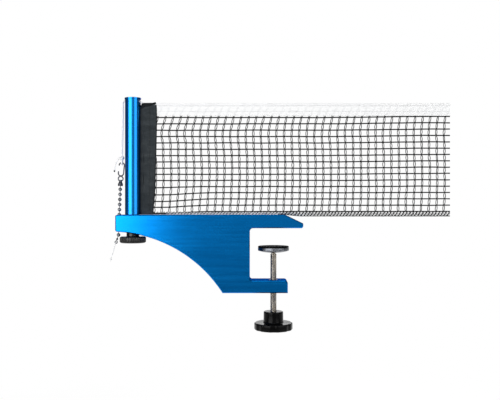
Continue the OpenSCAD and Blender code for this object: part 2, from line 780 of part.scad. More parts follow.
// The loop that holds the hook, its knot and the cord's free tip.
module cord_knot() {
    loop_r = hook_wire / 2 + cord_r + 0.25;
    knot_z = hook_top.y + 5.8;
    tip = [
        [hook_top.x - 1, -1, knot_z], [hook_top.x - 3.5, -1.2, knot_z - 0.6],
        [hook_top.x - 6, -1.4, knot_z - 3], [hook_top.x - 7.8, -1.4, knot_z - 7.5],
        [hook_top.x - 8.6, -1.4, knot_z - 12], [hook_top.x - 9, -1.4, knot_z - 16.5]
    ];
    color("white") {
        translate([hook_top.x, 0, hook_top.y]) rotate([0, 90, 0]) rotate(-90)
            rotate_extrude(angle = 180, $fn = 48) translate([loop_r, 0]) circle(cord_r, $fn = 32);
        for (y = [-1, 1] * loop_r) translate([hook_top.x, y, hook_top.y])
            cylinder(r = cord_r, h = knot_z - hook_top.y, $fn = 32);
        translate([hook_top.x, 0, knot_z]) sphere(2.6, $fn = 48);
        swept_cord(tip, cord_r, [0, 1, 0], 8);
    }
}

// ---- hook and chain ----

// An arc of the hook's wire in the X-Z plane, centred on c.
module wire_arc(c, r, wire, start, sweep) {
    translate([c.x, 0, c.y]) rotate([90, 0, 0]) rotate(start)
        rotate_extrude(angle = sweep) translate([r, 0]) circle(d = wire, $fn = 32);
}

module hook() {
    tip_h = 1.6;
    top_h = hook_arc_r + hook_straight;
    color("#4a4a50") {
        translate([eye_c.x, 0, eye_c.y]) rotate([90, 0, 0])
            rotate_extrude() translate([eye_r, 0]) circle(d = hook_wire, $fn = 32);
        translate([hook_foot.x, 0, hook_foot.y]) rotate([0, hook_lean, 0]) {
            wire_arc([0, hook_arc_r], hook_arc_r, hook_wire, 180, 180);
            wire_arc([0, top_h], hook_arc_r, hook_wire, 0, 180);
            translate([hook_arc_r, 0, hook_arc_r]) cylinder(d = hook_wire, h = hook_straight, $fn = 32);
            translate([-hook_arc_r, 0, hook_arc_r]) cylinder(d = hook_wire, h = tip_h, $fn = 32);
            translate([-hook_arc_r, 0, hook_arc_r + tip_h]) sphere(d = hook_wire, $fn = 32);
            translate([-hook_arc_r, 0, top_h]) sphere(d = hook_wire, $fn = 32);
        }
    }
}

// Places its children along the chain, whose own Z runs up the chain from the arm's foot.
module on_chain() {
    translate([chain_foot.x, 0, chain_foot.y]) rotate([0, chain_lean, 0]) children();
}

// The bell at the chain's head, with a lug that holds the hook's eye.
module chain_bell() {
    wall = 0.55;
    cone_h = 2.4;
    lug_d = 3.6;
    lug_h = eye_s - eye_r + hook_wire - bell_foot_s - bell_h;
    color("#3c3c42") difference() {
        on_chain() translate([0, 0, bell_foot_s]) {
            cylinder(d = bell_d, h = bell_h);
            translate([0, 0, bell_h]) cylinder(d1 = bell_d - 0.8, d2 = lug_d, h = cone_h);
            translate([0, 0, bell_h]) cylinder(d = lug_d, h = lug_h);
        }
        on_chain() translate([0, 0, bell_foot_s + wall]) cylinder(r = cavity_r, h = bell_h - 2 * wall);
        on_chain() translate([0, 0, bell_foot_s - over]) cylinder(r = pin_hole_r, h = 2 * over);
        translate([eye_c.x, 0, eye_c.y]) rotate([90, 0, 0])
            rotate_extrude() translate([eye_r, 0]) circle(d = hook_wire + 0.3, $fn = 32);
    }
}

// The balls; the last one is turned halfway between the chain above and its leaning end.
module chain_balls() {
    color("#8e9094") on_chain() for (k = [0:bead_steps])
        translate([0, 0, last_bead_s + k * bead_pitch]) rotate([0, k == 0 ? tail_bend / 2 : 0, 0])
        difference() {
            sphere(bead_r, $fn = 64);
            sphere(cavity_r, $fn = 64);
            cylinder(r = pin_hole_r, h = bead_d + 2 * over, center = true, $fn = 32);
        }
}

// A pin with a round head at each end, from inside one ball to inside the next.
module link_pin(length) {
    cylinder(d = pin_d, h = length, $fn = 32);
    sphere(head_r, $fn = 32);
    translate([0, 0, length]) sphere(head_r, $fn = 32);
}

module chain_links() {
    color("#77797d") on_chain() for (k = [0:bead_steps])
        translate([0, 0, last_bead_s + k * bead_pitch + head_s]) link_pin(bead_pitch - 2 * head_s);
}

// ---- chain end and its string ----

tail_pivot = chain_foot + last_bead_s * chain_dir;

// Places its children along the chain's end, whose own Z runs down it from the last ball.
module on_tail() {
    translate([tail_pivot.x, 0, tail_pivot.y]) rotate([0, 180 + tail_lean, 0]) children();
}

module chain_end() {
    bead_s = 5.4;
    color("#55575b") on_tail() {
        translate([0, 0, head_s]) sphere(head_r, $fn = 32);
        translate([0, 0, head_s]) cylinder(d = pin_d, h = tail_ring_s - tail_ring_r - head_s, $fn = 32);
        translate([0, 0, bead_s]) sphere(1.3, $fn = 32);
        translate([0, 0, tail_ring_s]) rotate([90, 0, 0])
            rotate_extrude($fn = 48) translate([tail_ring_r, 0]) circle(d = tail_wire, $fn = 24);
    }
}

// One string, doubled through the chain end's ring, with both ends in the knot.
tail_turn_s = tail_ring_s + tail_ring_r;
tail_turn_r = 1.6;
string_half = [
    [0.5, tail_len - 1.4], [0.6, 27.5], [0.9, 24], [1.25, 20], [1.5, 16.5], [tail_turn_r, 13.5]
];
string_pts = concat(
    [for (p = string_half) [0, p[0], p[1]]],
    [for (a = [0:30:180]) [0, tail_turn_r * cos(a), tail_turn_s - tail_turn_r * sin(a)]],
    [for (k = [len(string_half) - 1:-1:0]) [0, -string_half[k][0], string_half[k][1]]]
);

module tail_string() {
    color("white") on_tail() swept_cord(string_pts, tail_string_d / 2, [1, 0, 0], 8);
}

module tail_knot() {
    color("white") on_tail() {
        translate([0, 0, tail_len + 0.2]) sphere(1.4, $fn = 32);
        translate([0, 0, tail_len]) cylinder(d1 = 1.6, d2 = 1.2, h = 3.4, $fn = 32);
    }
}

bracket();
jaw_bush();
clamp_rod();
clamp_knob_in_place();  // clamp_knob
ball_end();
pad_cup();
pad_facing();
height_wheel();
height_screw();
height_clip();
post_tube();
post_cap();
post_foot();
rail_rod();
side_band();
net_mesh();
net_tape();
net_hem();
head_cord();
cord_drop();
cord_knot();
hook();
chain_bell();
chain_balls();
chain_links();
chain_end();
tail_string();
tail_knot();
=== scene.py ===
import math

import bmesh
import bpy
from mathutils import Matrix, Vector


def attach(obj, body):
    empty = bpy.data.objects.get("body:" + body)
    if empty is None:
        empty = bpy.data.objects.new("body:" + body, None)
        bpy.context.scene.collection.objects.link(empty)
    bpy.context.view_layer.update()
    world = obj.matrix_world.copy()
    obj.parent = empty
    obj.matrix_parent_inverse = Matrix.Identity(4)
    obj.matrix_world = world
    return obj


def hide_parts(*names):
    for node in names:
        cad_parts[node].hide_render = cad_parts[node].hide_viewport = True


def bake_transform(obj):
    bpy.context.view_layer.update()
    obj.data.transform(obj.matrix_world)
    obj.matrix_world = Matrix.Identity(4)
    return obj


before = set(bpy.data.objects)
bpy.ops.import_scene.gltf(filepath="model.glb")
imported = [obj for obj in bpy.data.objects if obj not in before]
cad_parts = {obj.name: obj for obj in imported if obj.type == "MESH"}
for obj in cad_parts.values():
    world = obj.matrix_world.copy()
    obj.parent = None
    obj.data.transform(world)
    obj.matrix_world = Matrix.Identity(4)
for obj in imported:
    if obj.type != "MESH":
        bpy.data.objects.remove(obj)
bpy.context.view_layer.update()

MM = 0.001
TURN = 2 * math.pi


# ---- camera ----
def make_camera():
    data = bpy.data.cameras.new("camera")
    data.sensor_width = 36
    data.lens = 50.87
    data.clip_start, data.clip_end = 0.05, 20
    camera = bpy.data.objects.new("camera", data)
    camera.location = (-0.0286, -0.864, 0.034)
    camera.rotation_euler = (math.radians(90), 0, 0)
    bpy.context.scene.collection.objects.link(camera)
    bpy.context.scene.camera = camera


make_camera()


# ---- sizes that pieces and finishes share, in millimetres ----
COLUMN_PITCH = 9.29
TAPE_SEAMS, TAPE_RIDGE = (142.1, 148.9), 152.3
BAND_SEAM = -151.0


# ---- node trees ----
def plug(socket, value):
    """Links a socket to another one, or sets its own number, vector or colour."""
    if isinstance(value, Value):
        value = value.socket
    if isinstance(value, bpy.types.NodeSocket):
        socket.id_data.links.new(value, socket)
    else:
        socket.default_value = value


def add_node(tree, kind, inputs=None, **settings):
    node = tree.nodes.new(kind)
    for name, value in settings.items():
        setattr(node, name, value)
    for name, value in (inputs or {}).items():
        plug(node.inputs[name], value)
    return node


class Value:
    """A number in a node tree. Arithmetic on it adds Math nodes."""

    def __init__(self, socket):
        self.socket = socket

    def math(self, operation, *others):
        node = self.socket.id_data.nodes.new("ShaderNodeMath")
        node.operation = operation
        for slot, term in zip(node.inputs, (self, *others)):
            plug(slot, term)
        return Value(node.outputs[0])

    def __add__(self, other):
        return self.math("ADD", other)

    def __sub__(self, other):
        return self.math("SUBTRACT", other)

    def __mul__(self, other):
        return self.math("MULTIPLY", other)

    def __truediv__(self, other):
        return self.math("DIVIDE", other)

    def sin(self):
        return self.math("SINE")

    def size(self):
        return self.math("ABSOLUTE")

    def floor(self):
        return self.math("FLOOR")

    def between(self, low, high, start=0.0, end=1.0):
        """start where the number is low or less, end where it is high or more, a smooth step between them."""
        node = add_node(self.socket.id_data, "ShaderNodeMapRange", {
            "Value": self, "From Min": low, "From Max": high, "To Min": start, "To Max": end},
            interpolation_type="SMOOTHSTEP")
        return Value(node.outputs[0])


def srgb(code):
    """A colour written as #rrggbb, as the renderer's linear numbers."""
    parts = [int(code[k:k + 2], 16) / 255 for k in (1, 3, 5)]
    return [c / 12.92 if c <= 0.04045 else ((c + 0.055) / 1.055) ** 2.4 for c in parts] + [1.0]


class Finish:
    """One material. Its patterns are in metres, on Object coordinates or on the piece's own UV map."""

    def __init__(self, name, colour, roughness, metallic=0.0, shader=None):
        self.material = bpy.data.materials.new(name)
        self.material.use_nodes = True
        self.material.diffuse_color = srgb(colour)
        self.tree = self.material.node_tree
        self.shader = self.tree.nodes["Principled BSDF"]
        plain = {"Base Color": srgb(colour), "Roughness": roughness, "Metallic": metallic}
        for socket, value in {**plain, **(shader or {})}.items():
            self.shader.inputs[socket].default_value = value

    def where(self, source="Object", scale=(1, 1, 1)):
        place = add_node(self.tree, "ShaderNodeTexCoord").outputs[source]
        return add_node(self.tree, "ShaderNodeMapping", {"Vector": place, "Scale": scale}).outputs[0]

    def axes(self, source="Object"):
        parts = add_node(self.tree, "ShaderNodeSeparateXYZ", {0: self.where(source)})
        return [Value(socket) for socket in parts.outputs]

    def noise(self, grains, detail=2.0, roughness=0.5, source="Object"):
        """Noise with that many grains in a metre, all round or along each axis."""
        scale = grains if isinstance(grains, (list, tuple)) else (grains, grains, grains)
        return Value(add_node(self.tree, "ShaderNodeTexNoise", {
            "Vector": self.where(source, scale), "Scale": 1.0, "Detail": detail,
            "Roughness": roughness}).outputs[0])

    def colour(self, socket):
        plug(self.shader.inputs["Base Color"], socket)
        return socket

    def tint(self, by, *stops):
        """Colours the finish by a ramp through (place, colour) stops."""
        ramp = add_node(self.tree, "ShaderNodeValToRGB", {0: by})
        for k, (place, colour) in enumerate(stops):
            stop = ramp.color_ramp.elements[k] if k < 2 else ramp.color_ramp.elements.new(place)
            stop.position, stop.color = place, srgb(colour)
        return self.colour(ramp.outputs[0])

    def mix(self, by, first, second):
        """Colours the finish with first where by is 0 and with second where it is 1."""
        node = add_node(self.tree, "ShaderNodeMix", data_type="RGBA")
        for slot, value in ((0, by), (6, first), (7, srgb(second))):
            plug(node.inputs[slot], value)
        self.colour(node.outputs[2])

    def gloss(self, by, low, high):
        plug(self.shader.inputs["Roughness"], by.between(0.25, 0.75, low, high))

    def relief(self, height, depth, strength, edge=0.0):
        """Raises the surface by height times depth and rounds sharp corners by edge, both in millimetres."""
        bump = add_node(self.tree, "ShaderNodeBump", {
            "Strength": strength, "Distance": depth * MM, "Height": height})
        if edge:
            soft = add_node(self.tree, "ShaderNodeBevel", {"Radius": edge * MM}, samples=6)
            plug(bump.inputs["Normal"], soft.outputs[0])
        plug(self.shader.inputs["Normal"], bump.outputs[0])


def anodised(name, along, across, roughness, marks, flanks=0.0, edge=0.2, shader=None):
    """Blue anodised aluminium with fine lines from brushing or drawing, and the coat's faint cloudiness.

    along is the axis that the lines follow, across how many lie in a metre and marks how strongly they show.
    flanks is how much duller the faces are that aren't brushed.
    """
    dark, blue, light = "#0369b4", "#0677c6", "#1086d6"
    short_run, long_run, long_share = 25, 6, 0.28
    spread = 0.2 / marks
    finish = Finish(name, blue, roughness, 1.0, {"Specular Tint": srgb("#03385c"), **(shader or {})})
    lines = finish.noise([short_run if k == along else across for k in range(3)], 3, 0.6)
    long_lines = finish.noise([long_run if k == along else across * long_share for k in range(3)])
    mark = lines * 0.4 + long_lines * 0.4 + finish.noise(18) * 0.2
    finish.tint(mark, (0.5 - spread, dark), (0.5, blue), (0.5 + spread, light))
    brushed = finish.axes("Normal")[1].size()
    dull = mark.between(0.25, 0.75, roughness - 0.03, roughness + 0.04)
    dull = dull + brushed.between(0.2, 0.9, flanks, 0.0)
    plug(finish.shader.inputs["Roughness"], dull)
    finish.relief(lines + long_lines * 0.5, 0.012 * marks, 0.25, edge)
    return finish


def plated(name, dark, light, roughness, grain=900):
    """Plated or bare metal with patches of wear and fine scratches."""
    finish = Finish(name, light, roughness, 1.0)
    patch = finish.noise(140, 3, 0.6)
    scratch = finish.noise((grain, grain, grain * 0.25), 3, 0.7)
    finish.tint(patch * 0.6 + scratch * 0.4, (0.36, dark), (0.58, light))
    finish.gloss(patch * 0.5 + scratch * 0.5, roughness - 0.07, roughness + 0.12)
    finish.relief(scratch, 0.02, 0.3, edge=0.12)
    return finish


def moulded(name, colour, lit, roughness, shine=0.5, skin_depth=0.03):
    """Moulded plastic or rubber with a fine skin."""
    finish = Finish(name, colour, roughness, shader={"Specular IOR Level": shine})
    skin = finish.noise(2600, 2, 0.6)
    cloud = finish.noise(90)
    finish.tint(skin * 0.5 + cloud * 0.5, (0.4, colour), (0.65, lit))
    finish.gloss(cloud, roughness - 0.04, roughness + 0.08)
    finish.relief(skin, skin_depth, 0.25, edge=0.2)
    return finish


def woven(name, colour, thread, roughness, depth, sheen=0.25, shine=0.5):
    """Plain weave on the piece's UV map; thread is the width of one thread in millimetres."""
    finish = Finish(name, colour, roughness, shader={
        "Sheen Weight": sheen, "Sheen Roughness": 0.5, "Specular IOR Level": shine})
    finish.u, finish.v, _ = finish.axes("UV")
    step = math.pi / (thread * MM)
    weave = (finish.u * step).sin() * (finish.v * step).sin() * 0.5 + 0.5
    finish.cloth = weave * 0.6 + finish.noise(500, 3, 0.7, "UV") * 0.4
    finish.relief(finish.cloth, depth, 0.8)
    return finish


def twisted(name, dark, light, lay, girth, depth=0.15, shader=None):
    """Braided yarn on a cord's UV map, where u runs round its girth and v along it, with one braid a lay."""
    plaits = 2
    finish = Finish(name, light, 0.7, shader={"Sheen Weight": 0.2, "Sheen Roughness": 0.5, **(shader or {})})
    u, v, _ = finish.axes("UV")
    turn = u * (TURN * plaits / (girth * MM))
    run = v * (TURN / (lay * MM))
    braid = (turn + run).sin() * (turn - run).sin() * 0.5 + 0.5
    mark = braid * 0.75 + finish.noise(900, 2, 0.7) * 0.25
    finish.tint(mark, (0.2, dark), (0.65, light))
    finish.relief(mark, depth, 0.8)
    return finish


def make_band_cloth(width, flap):
    """Charcoal weave. The turned edges beside the net are darker, and the flap over its top is painted
    near-black as shade.

    width is the folded cloth's whole width, and flap is how far up it the flap starts, in millimetres.
    """
    hem, blur = 1.4, 0.3
    finish = woven("band_fabric", "#3d4144", 0.55, 0.85, 0.2, sheen=0.04, shine=0.12)
    worn = finish.noise((55, 55, 160), 3, 0.6)
    shade = finish.tint(finish.cloth * 0.55 + worn * 0.45,
                        (0.3, "#1d2124"), (0.5, "#2f3437"), (0.68, "#43484b"))
    seam = (finish.axes()[0] - BAND_SEAM * MM).size().between(0.2 * MM, 0.6 * MM, 0.35, 0.0)
    near_edge = finish.u.between((hem - blur) * MM, hem * MM, 0.6, 0.0)
    far_edge = finish.u.between((width - hem) * MM, (width - hem + blur) * MM, 0.0, 0.6)
    # painted shade: the flap above the front ply's top edge is darkened towards near-black
    over = finish.v.between((flap - blur) * MM, flap * MM, 0.0, 0.8)
    finish.mix(over.math("MAXIMUM", near_edge + far_edge).math("MAXIMUM", seam), shade, "#08090a")
    return finish


def make_tape_cloth():
    """White weave. The netting folded inside it shows through a little, below the cord, and grey lines along
    its seams and the top of its roll are painted shade.
    """
    slant = 0.45
    finish = woven("tape_fabric", "#fafafa", 0.5, 0.8, 0.06)
    x, _, z = finish.axes()
    shade = finish.tint(finish.cloth, (0.25, "#eeeff0"), (0.7, "#f9f9f9"))
    wander = finish.noise((60, 60, 220)) * 0.006
    columns = ((x - z * slant + wander) * (math.pi / (COLUMN_PITCH * MM))).sin().size().between(0.80, 1.0)
    netting_and_seam_shade = columns * z.between(146.8 * MM, 148.0 * MM, 0.22, 0.0)
    # painted shade: grey lines in the seams' grooves and along the top of the roll
    for height in (*TAPE_SEAMS, TAPE_RIDGE):
        netting_and_seam_shade = netting_and_seam_shade + (z - height * MM).size().between(0.1 * MM, 0.5 * MM, 0.2, 0.0)
    finish.mix(netting_and_seam_shade, shade, "#c6c8ca")
    return finish


def make_net_string():
    finish = Finish("net_string", "#0b0b0c", 0.6, shader={"Sheen Weight": 0.1, "Specular IOR Level": 0.3})
    strands = finish.noise(1500, 3, 0.7)
    finish.tint(strands, (0.35, "#060607"), (0.65, "#141516"))
    finish.relief(strands, 0.1, 0.6)
    return finish


def make_pale_string():
    """The fine white laid string at the chain's end."""
    girth, lay, strands = 2.5, 1.2, 2
    finish = Finish("pull_string", "#f2f3f4", 0.4)
    u, v, _ = finish.axes("UV")
    twist = (u * (TURN * strands / (girth * MM)) + v * (TURN / (lay * MM))).sin() * 0.5 + 0.5
    finish.tint(twist, (0.2, "#e6e8ea"), (0.8, "#fafafb"))
    finish.relief(twist, 0.03, 0.4)
    return finish


bracket_blue = anodised("anodised_bracket", 0, 900, 0.2, 0.6, flanks=0.38, edge=0.0)
post_blue = anodised("anodised_post", 2, 1100, 0.2, 0.3,
                     shader={"Coat Weight": 0.22, "Coat Roughness": 0.12})
oxide_steel = plated("dark_steel", "#0d1017", "#2a2f3a", 0.3)
screw_steel = plated("screw_steel", "#7d766b", "#b5ada0", 0.3)
chain_nickel = plated("chain_nickel", "#3a3c40", "#8a8d92", 0.16)
hook_steel = plated("hook_steel", "#17181c", "#55585f", 0.25)
pad_chrome = plated("pad_chrome", "#4c4f55", "#7d8086", 0.28, grain=500)
knob_black = moulded("knob_plastic", "#020202", "#040405", 0.16, 0.1, 0.01)
wheel_black = moulded("wheel_plastic", "#050505", "#0a0908", 0.25, 0.4)
foot_grey = moulded("foot_plastic", "#2c2e31", "#3a3d40", 0.45)
rod_white = moulded("rod_plastic", "#cfcfcd", "#dededc", 0.4)
pad_rubber = moulded("pad_rubber", "#050506", "#0b0c0c", 0.9, 0.06)
tape_cloth = make_tape_cloth()
net_string = make_net_string()
pale_string = make_pale_string()
white_cord = twisted("white_cord", "#e6e6e6", "#fdfdfd", 2.6, 6.9, depth=0.06, shader={
    "Subsurface Weight": 0.6, "Subsurface Radius": (1.0, 1.0, 1.0), "Subsurface Scale": 0.002})
light_yarn = twisted("light_yarn", "#d6d7d8", "#fafafa", 1.0, 2.0)
dark_twine = twisted("dark_twine", "#08090a", "#1a1b1d", 1.4, 2.6)
stitch_white = twisted("stitch_white", "#bdbfc2", "#ececec", 0.5, 1.2)
stitch_dark = twisted("stitch_dark", "#0c0e10", "#23272a", 0.5, 1.2)


# ---- meshes ----
def circle(radius, height, sides):
    """The points of a ring about the Z axis."""
    angles = [TURN * k / sides for k in range(sides)]
    return [(radius * math.cos(a), radius * math.sin(a), height) for a in angles]


def arc(r, h, radius, start, end, steps=5):
    """Profile points of a rounded corner about (r, h); angles in degrees from the radius axis."""
    angles = [math.radians(start + (end - start) * k / steps) for k in range(steps + 1)]
    return [(r + radius * math.cos(a), h + radius * math.sin(a)) for a in angles]


def smooth_path(points, steps):
    """A smooth curve through the points, with that many steps between each two."""
    points = [Vector(p) for p in points]
    path = []
    for k in range(len(points) - 1):
        p1, p2 = points[k], points[k + 1]
        p0 = points[k - 1] if k else p1 * 2 - p2
        p3 = points[k + 2] if k + 2 < len(points) else p2 * 2 - p1
        for j in range(steps):
            t = j / steps
            path.append(0.5 * (2 * p1 + (p2 - p0) * t + (2 * p0 - 5 * p1 + 4 * p2 - p3) * t ** 2
                               + (3 * p1 - p0 - 3 * p2 + p3) * t ** 3))
    return path + [points[-1]]


def on_line(corners, at):
    """Where a line through the corners is."""
    for (a0, b0), (a1, b1) in zip(corners, corners[1:]):
        if at <= a1:
            return b0 + (b1 - b0) * max(0.0, at - a0) / (a1 - a0)
    return corners[-1][1]


def step_between(low, high, value):
    """0 at low, 1 at high and a smooth step between them."""
    t = min(1.0, max(0.0, (value - low) / (high - low)))
    return t * t * (3 - 2 * t)


def wave_noise(*terms):
    """A smooth, repeatable unevenness from -1 to 1, from sums of sines."""
    return sum(math.sin(term) for term in terms) / len(terms)


class Shell:
    """The points, faces and UVs of one piece, in millimetres. Every end and seam is closed."""

    def __init__(self):
        self.points, self.faces, self.corners = [], [], []

    def add_face(self, corners, uvs):
        self.faces.append(corners)
        self.corners += uvs

    def cap(self, first, ring, tip):
        """Closes a ring, whose points start at first, with a fan about its tip."""
        centre, count = len(self.points), len(ring)
        self.points.append(tip)
        reach = (ring[0] - tip).length
        for k in range(count):
            n = (k + 1) % count
            rim = [(reach * math.cos(a), reach * math.sin(a)) for a in (TURN * k / count, TURN * n / count)]
            self.add_face((first + k, first + n, centre), rim + [(0, 0)])

    def skin(self, rings, start=None, end=None, loop=False, place=None):
        """Skins closed rings in order. Points start and end close the two ends, or loop joins them."""
        place = place or Matrix.Identity(4)
        rings = [[place @ Vector(p) for p in ring] for ring in rings]
        first, count = len(self.points), len(rings[0])
        for ring in rings:
            self.points += ring
        along = [0.0]
        for a, b in zip(rings, rings[1:] + rings[:1]):
            along.append(along[-1] + sum((p - q).length for p, q in zip(a, b)) / count)
        girth = max(sum((p - q).length for p, q in zip(ring, ring[1:] + ring[:1])) for ring in rings)
        for r in range(len(rings) if loop else len(rings) - 1):
            near, far = first + r * count, first + (r + 1) % len(rings) * count
            for k in range(count):
                n = (k + 1) % count
                u0, u1 = girth * k / count, girth * (k + 1) / count
                self.add_face((near + k, near + n, far + n, far + k),
                              [(u0, along[r]), (u1, along[r]), (u1, along[r + 1]), (u0, along[r + 1])])
        for tip, r in ((start, 0), (end, len(rings) - 1)):
            if tip is not None:
                self.cap(first + r * count, rings[r], place @ Vector(tip))
        return self

    def lathe(self, profile, sides):
        """Turns (radius, height) points about the Z axis. A radius of 0 at either end is a closed pole."""
        poles = [(0, 0, h) if r == 0 else None for r, h in (profile[0], profile[-1])]
        return self.skin([circle(r, h, sides) for r, h in profile if r > 0], *poles)

    def tube(self, path, radius, sides=12, loop=False, place=None, round_ends=True):
        """Sweeps a circle along the path, with rounded ends. Returns the centres of its rings."""
        path = [Vector(p) for p in path]
        radii = list(radius) if hasattr(radius, "__len__") else [radius] * len(path)
        if round_ends and not loop:
            steps = (0.15, 0.5, 0.8)
            out = (path[0] - path[1]).normalized()
            tip = (path[-1] - path[-2]).normalized()
            head = [path[0] + out * radii[0] * math.sin(math.acos(s)) for s in steps]
            tail = [path[-1] + tip * radii[-1] * math.sin(math.acos(s)) for s in steps]
            path = head + path + tail[::-1]
            radii = [radii[0] * s for s in steps] + radii + [radii[-1] * s for s in steps[::-1]]
        count = len(path)
        if loop:
            around = [(path[k - 1], path[(k + 1) % count]) for k in range(count)]
        else:
            around = [(path[max(0, k - 1)], path[min(count - 1, k + 1)]) for k in range(count)]
        heading = [(b - a).normalized() for a, b in around]
        side = heading[0].orthogonal().normalized()
        sideways = [side.copy()]
        for before, now in zip(heading, heading[1:]):
            side = before.rotation_difference(now) @ side
            side = (side - side.dot(now) * now).normalized()
            sideways.append(side.copy())
        slip = 0.0
        if loop:
            back = heading[-1].rotation_difference(heading[0]) @ side
            slip = math.atan2(back.cross(sideways[0]).dot(heading[0]), back.dot(sideways[0]))
        rings = []
        for k in range(count):
            across = heading[k].cross(sideways[k])
            rings.append([path[k] + radii[k] * (math.cos(a) * sideways[k] + math.sin(a) * across)
                          for a in (TURN * j / sides + slip * k / count for j in range(sides))])
        if loop:
            self.skin(rings, loop=True, place=place)
        else:
            self.skin(rings, path[0], path[-1], place=place)
        return path

    def cloth(self, outer, inner, upright=None):
        """A sheet with two faces, given as grids of points of one size, closed round its edges.

        upright is the column whose length is the cloth's own, from foot to top.
        """
        rows, columns, rim = len(outer), len(outer[0]), 0.3
        upright = columns // 2 if upright is None else upright
        across, along = [0.0], [0.0]
        middle = outer[rows // 2]
        for a, b in zip(middle, middle[1:]):
            across.append(across[-1] + (Vector(b) - Vector(a)).length)
        for r in range(1, rows):
            along.append(along[-1] + (Vector(outer[r][upright]) - Vector(outer[r - 1][upright])).length)
        first = len(self.points)
        for grid in (outer, inner):
            for line in grid:
                self.points += [Vector(p) for p in line]

        def at(side, r, c):
            return first + (side * rows + r) * columns + c

        for side in (0, 1):
            for r in range(rows - 1):
                for c in range(columns - 1):
                    corners = [(r, c), (r, c + 1), (r + 1, c + 1), (r + 1, c)][::1 - 2 * side]
                    uvs = [(across[q], along[p]) for p, q in corners]
                    self.add_face(tuple(at(side, *p) for p in corners), uvs)
        border = [(0, c) for c in range(columns)] + [(r, columns - 1) for r in range(1, rows)]
        border += [(rows - 1, c) for c in range(columns - 2, -1, -1)]
        border += [(r, 0) for r in range(rows - 2, 0, -1)]
        for p, q in zip(border, border[1:] + border[:1]):
            self.add_face((at(0, *q), at(0, *p), at(1, *p), at(1, *q)),
                          [(across[q[1]], along[q[0]]), (across[p[1]], along[p[0]]),
                           (across[p[1]] + rim, along[p[0]]), (across[q[1]] + rim, along[q[0]])])
        self.width = across[-1]
        return self

    def mesh(self, name, finish, sharp=40):
        """The piece as a mesh in metres, with its faces turned outward."""
        mesh = bpy.data.meshes.new(name)
        mesh.from_pydata([tuple(p * MM) for p in self.points], [], self.faces)
        layer = mesh.uv_layers.new(name="UVMap")
        for k, (u, v) in enumerate(self.corners):
            layer.data[k].uv = (u * MM, v * MM)
        work = bmesh.new()
        work.from_mesh(mesh)
        bmesh.ops.recalc_face_normals(work, faces=work.faces[:])
        work.to_mesh(mesh)
        work.free()
        mesh.materials.append(finish.material)
        mesh.shade_smooth()
        mesh.set_sharp_from_angle(angle=math.radians(sharp))
        return mesh


def join_meshes(name, parts):
    """One mesh from several, each with its own material."""
    joined, finishes = bmesh.new(), []
    for part in parts:
        here = []
        for material in part.materials:
            if material not in finishes:
                finishes.append(material)
            here.append(finishes.index(material))
        start = len(joined.faces)
        joined.from_mesh(part)
        joined.faces.ensure_lookup_table()
        for face in joined.faces[start:]:
            face.material_index = here[face.material_index]
    mesh = bpy.data.meshes.new(name)
    joined.to_mesh(mesh)
    joined.free()
    for material in finishes:
        mesh.materials.append(material)
    return mesh


def set_piece(name, mesh, body):
    """Puts a finished mesh into the scene on a body, in place of the CAD node of its name."""
    piece = bpy.data.objects.new(name, mesh)
    bpy.context.scene.collection.objects.link(piece)
    if body:
        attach(piece, body)
    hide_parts(name)
    return piece


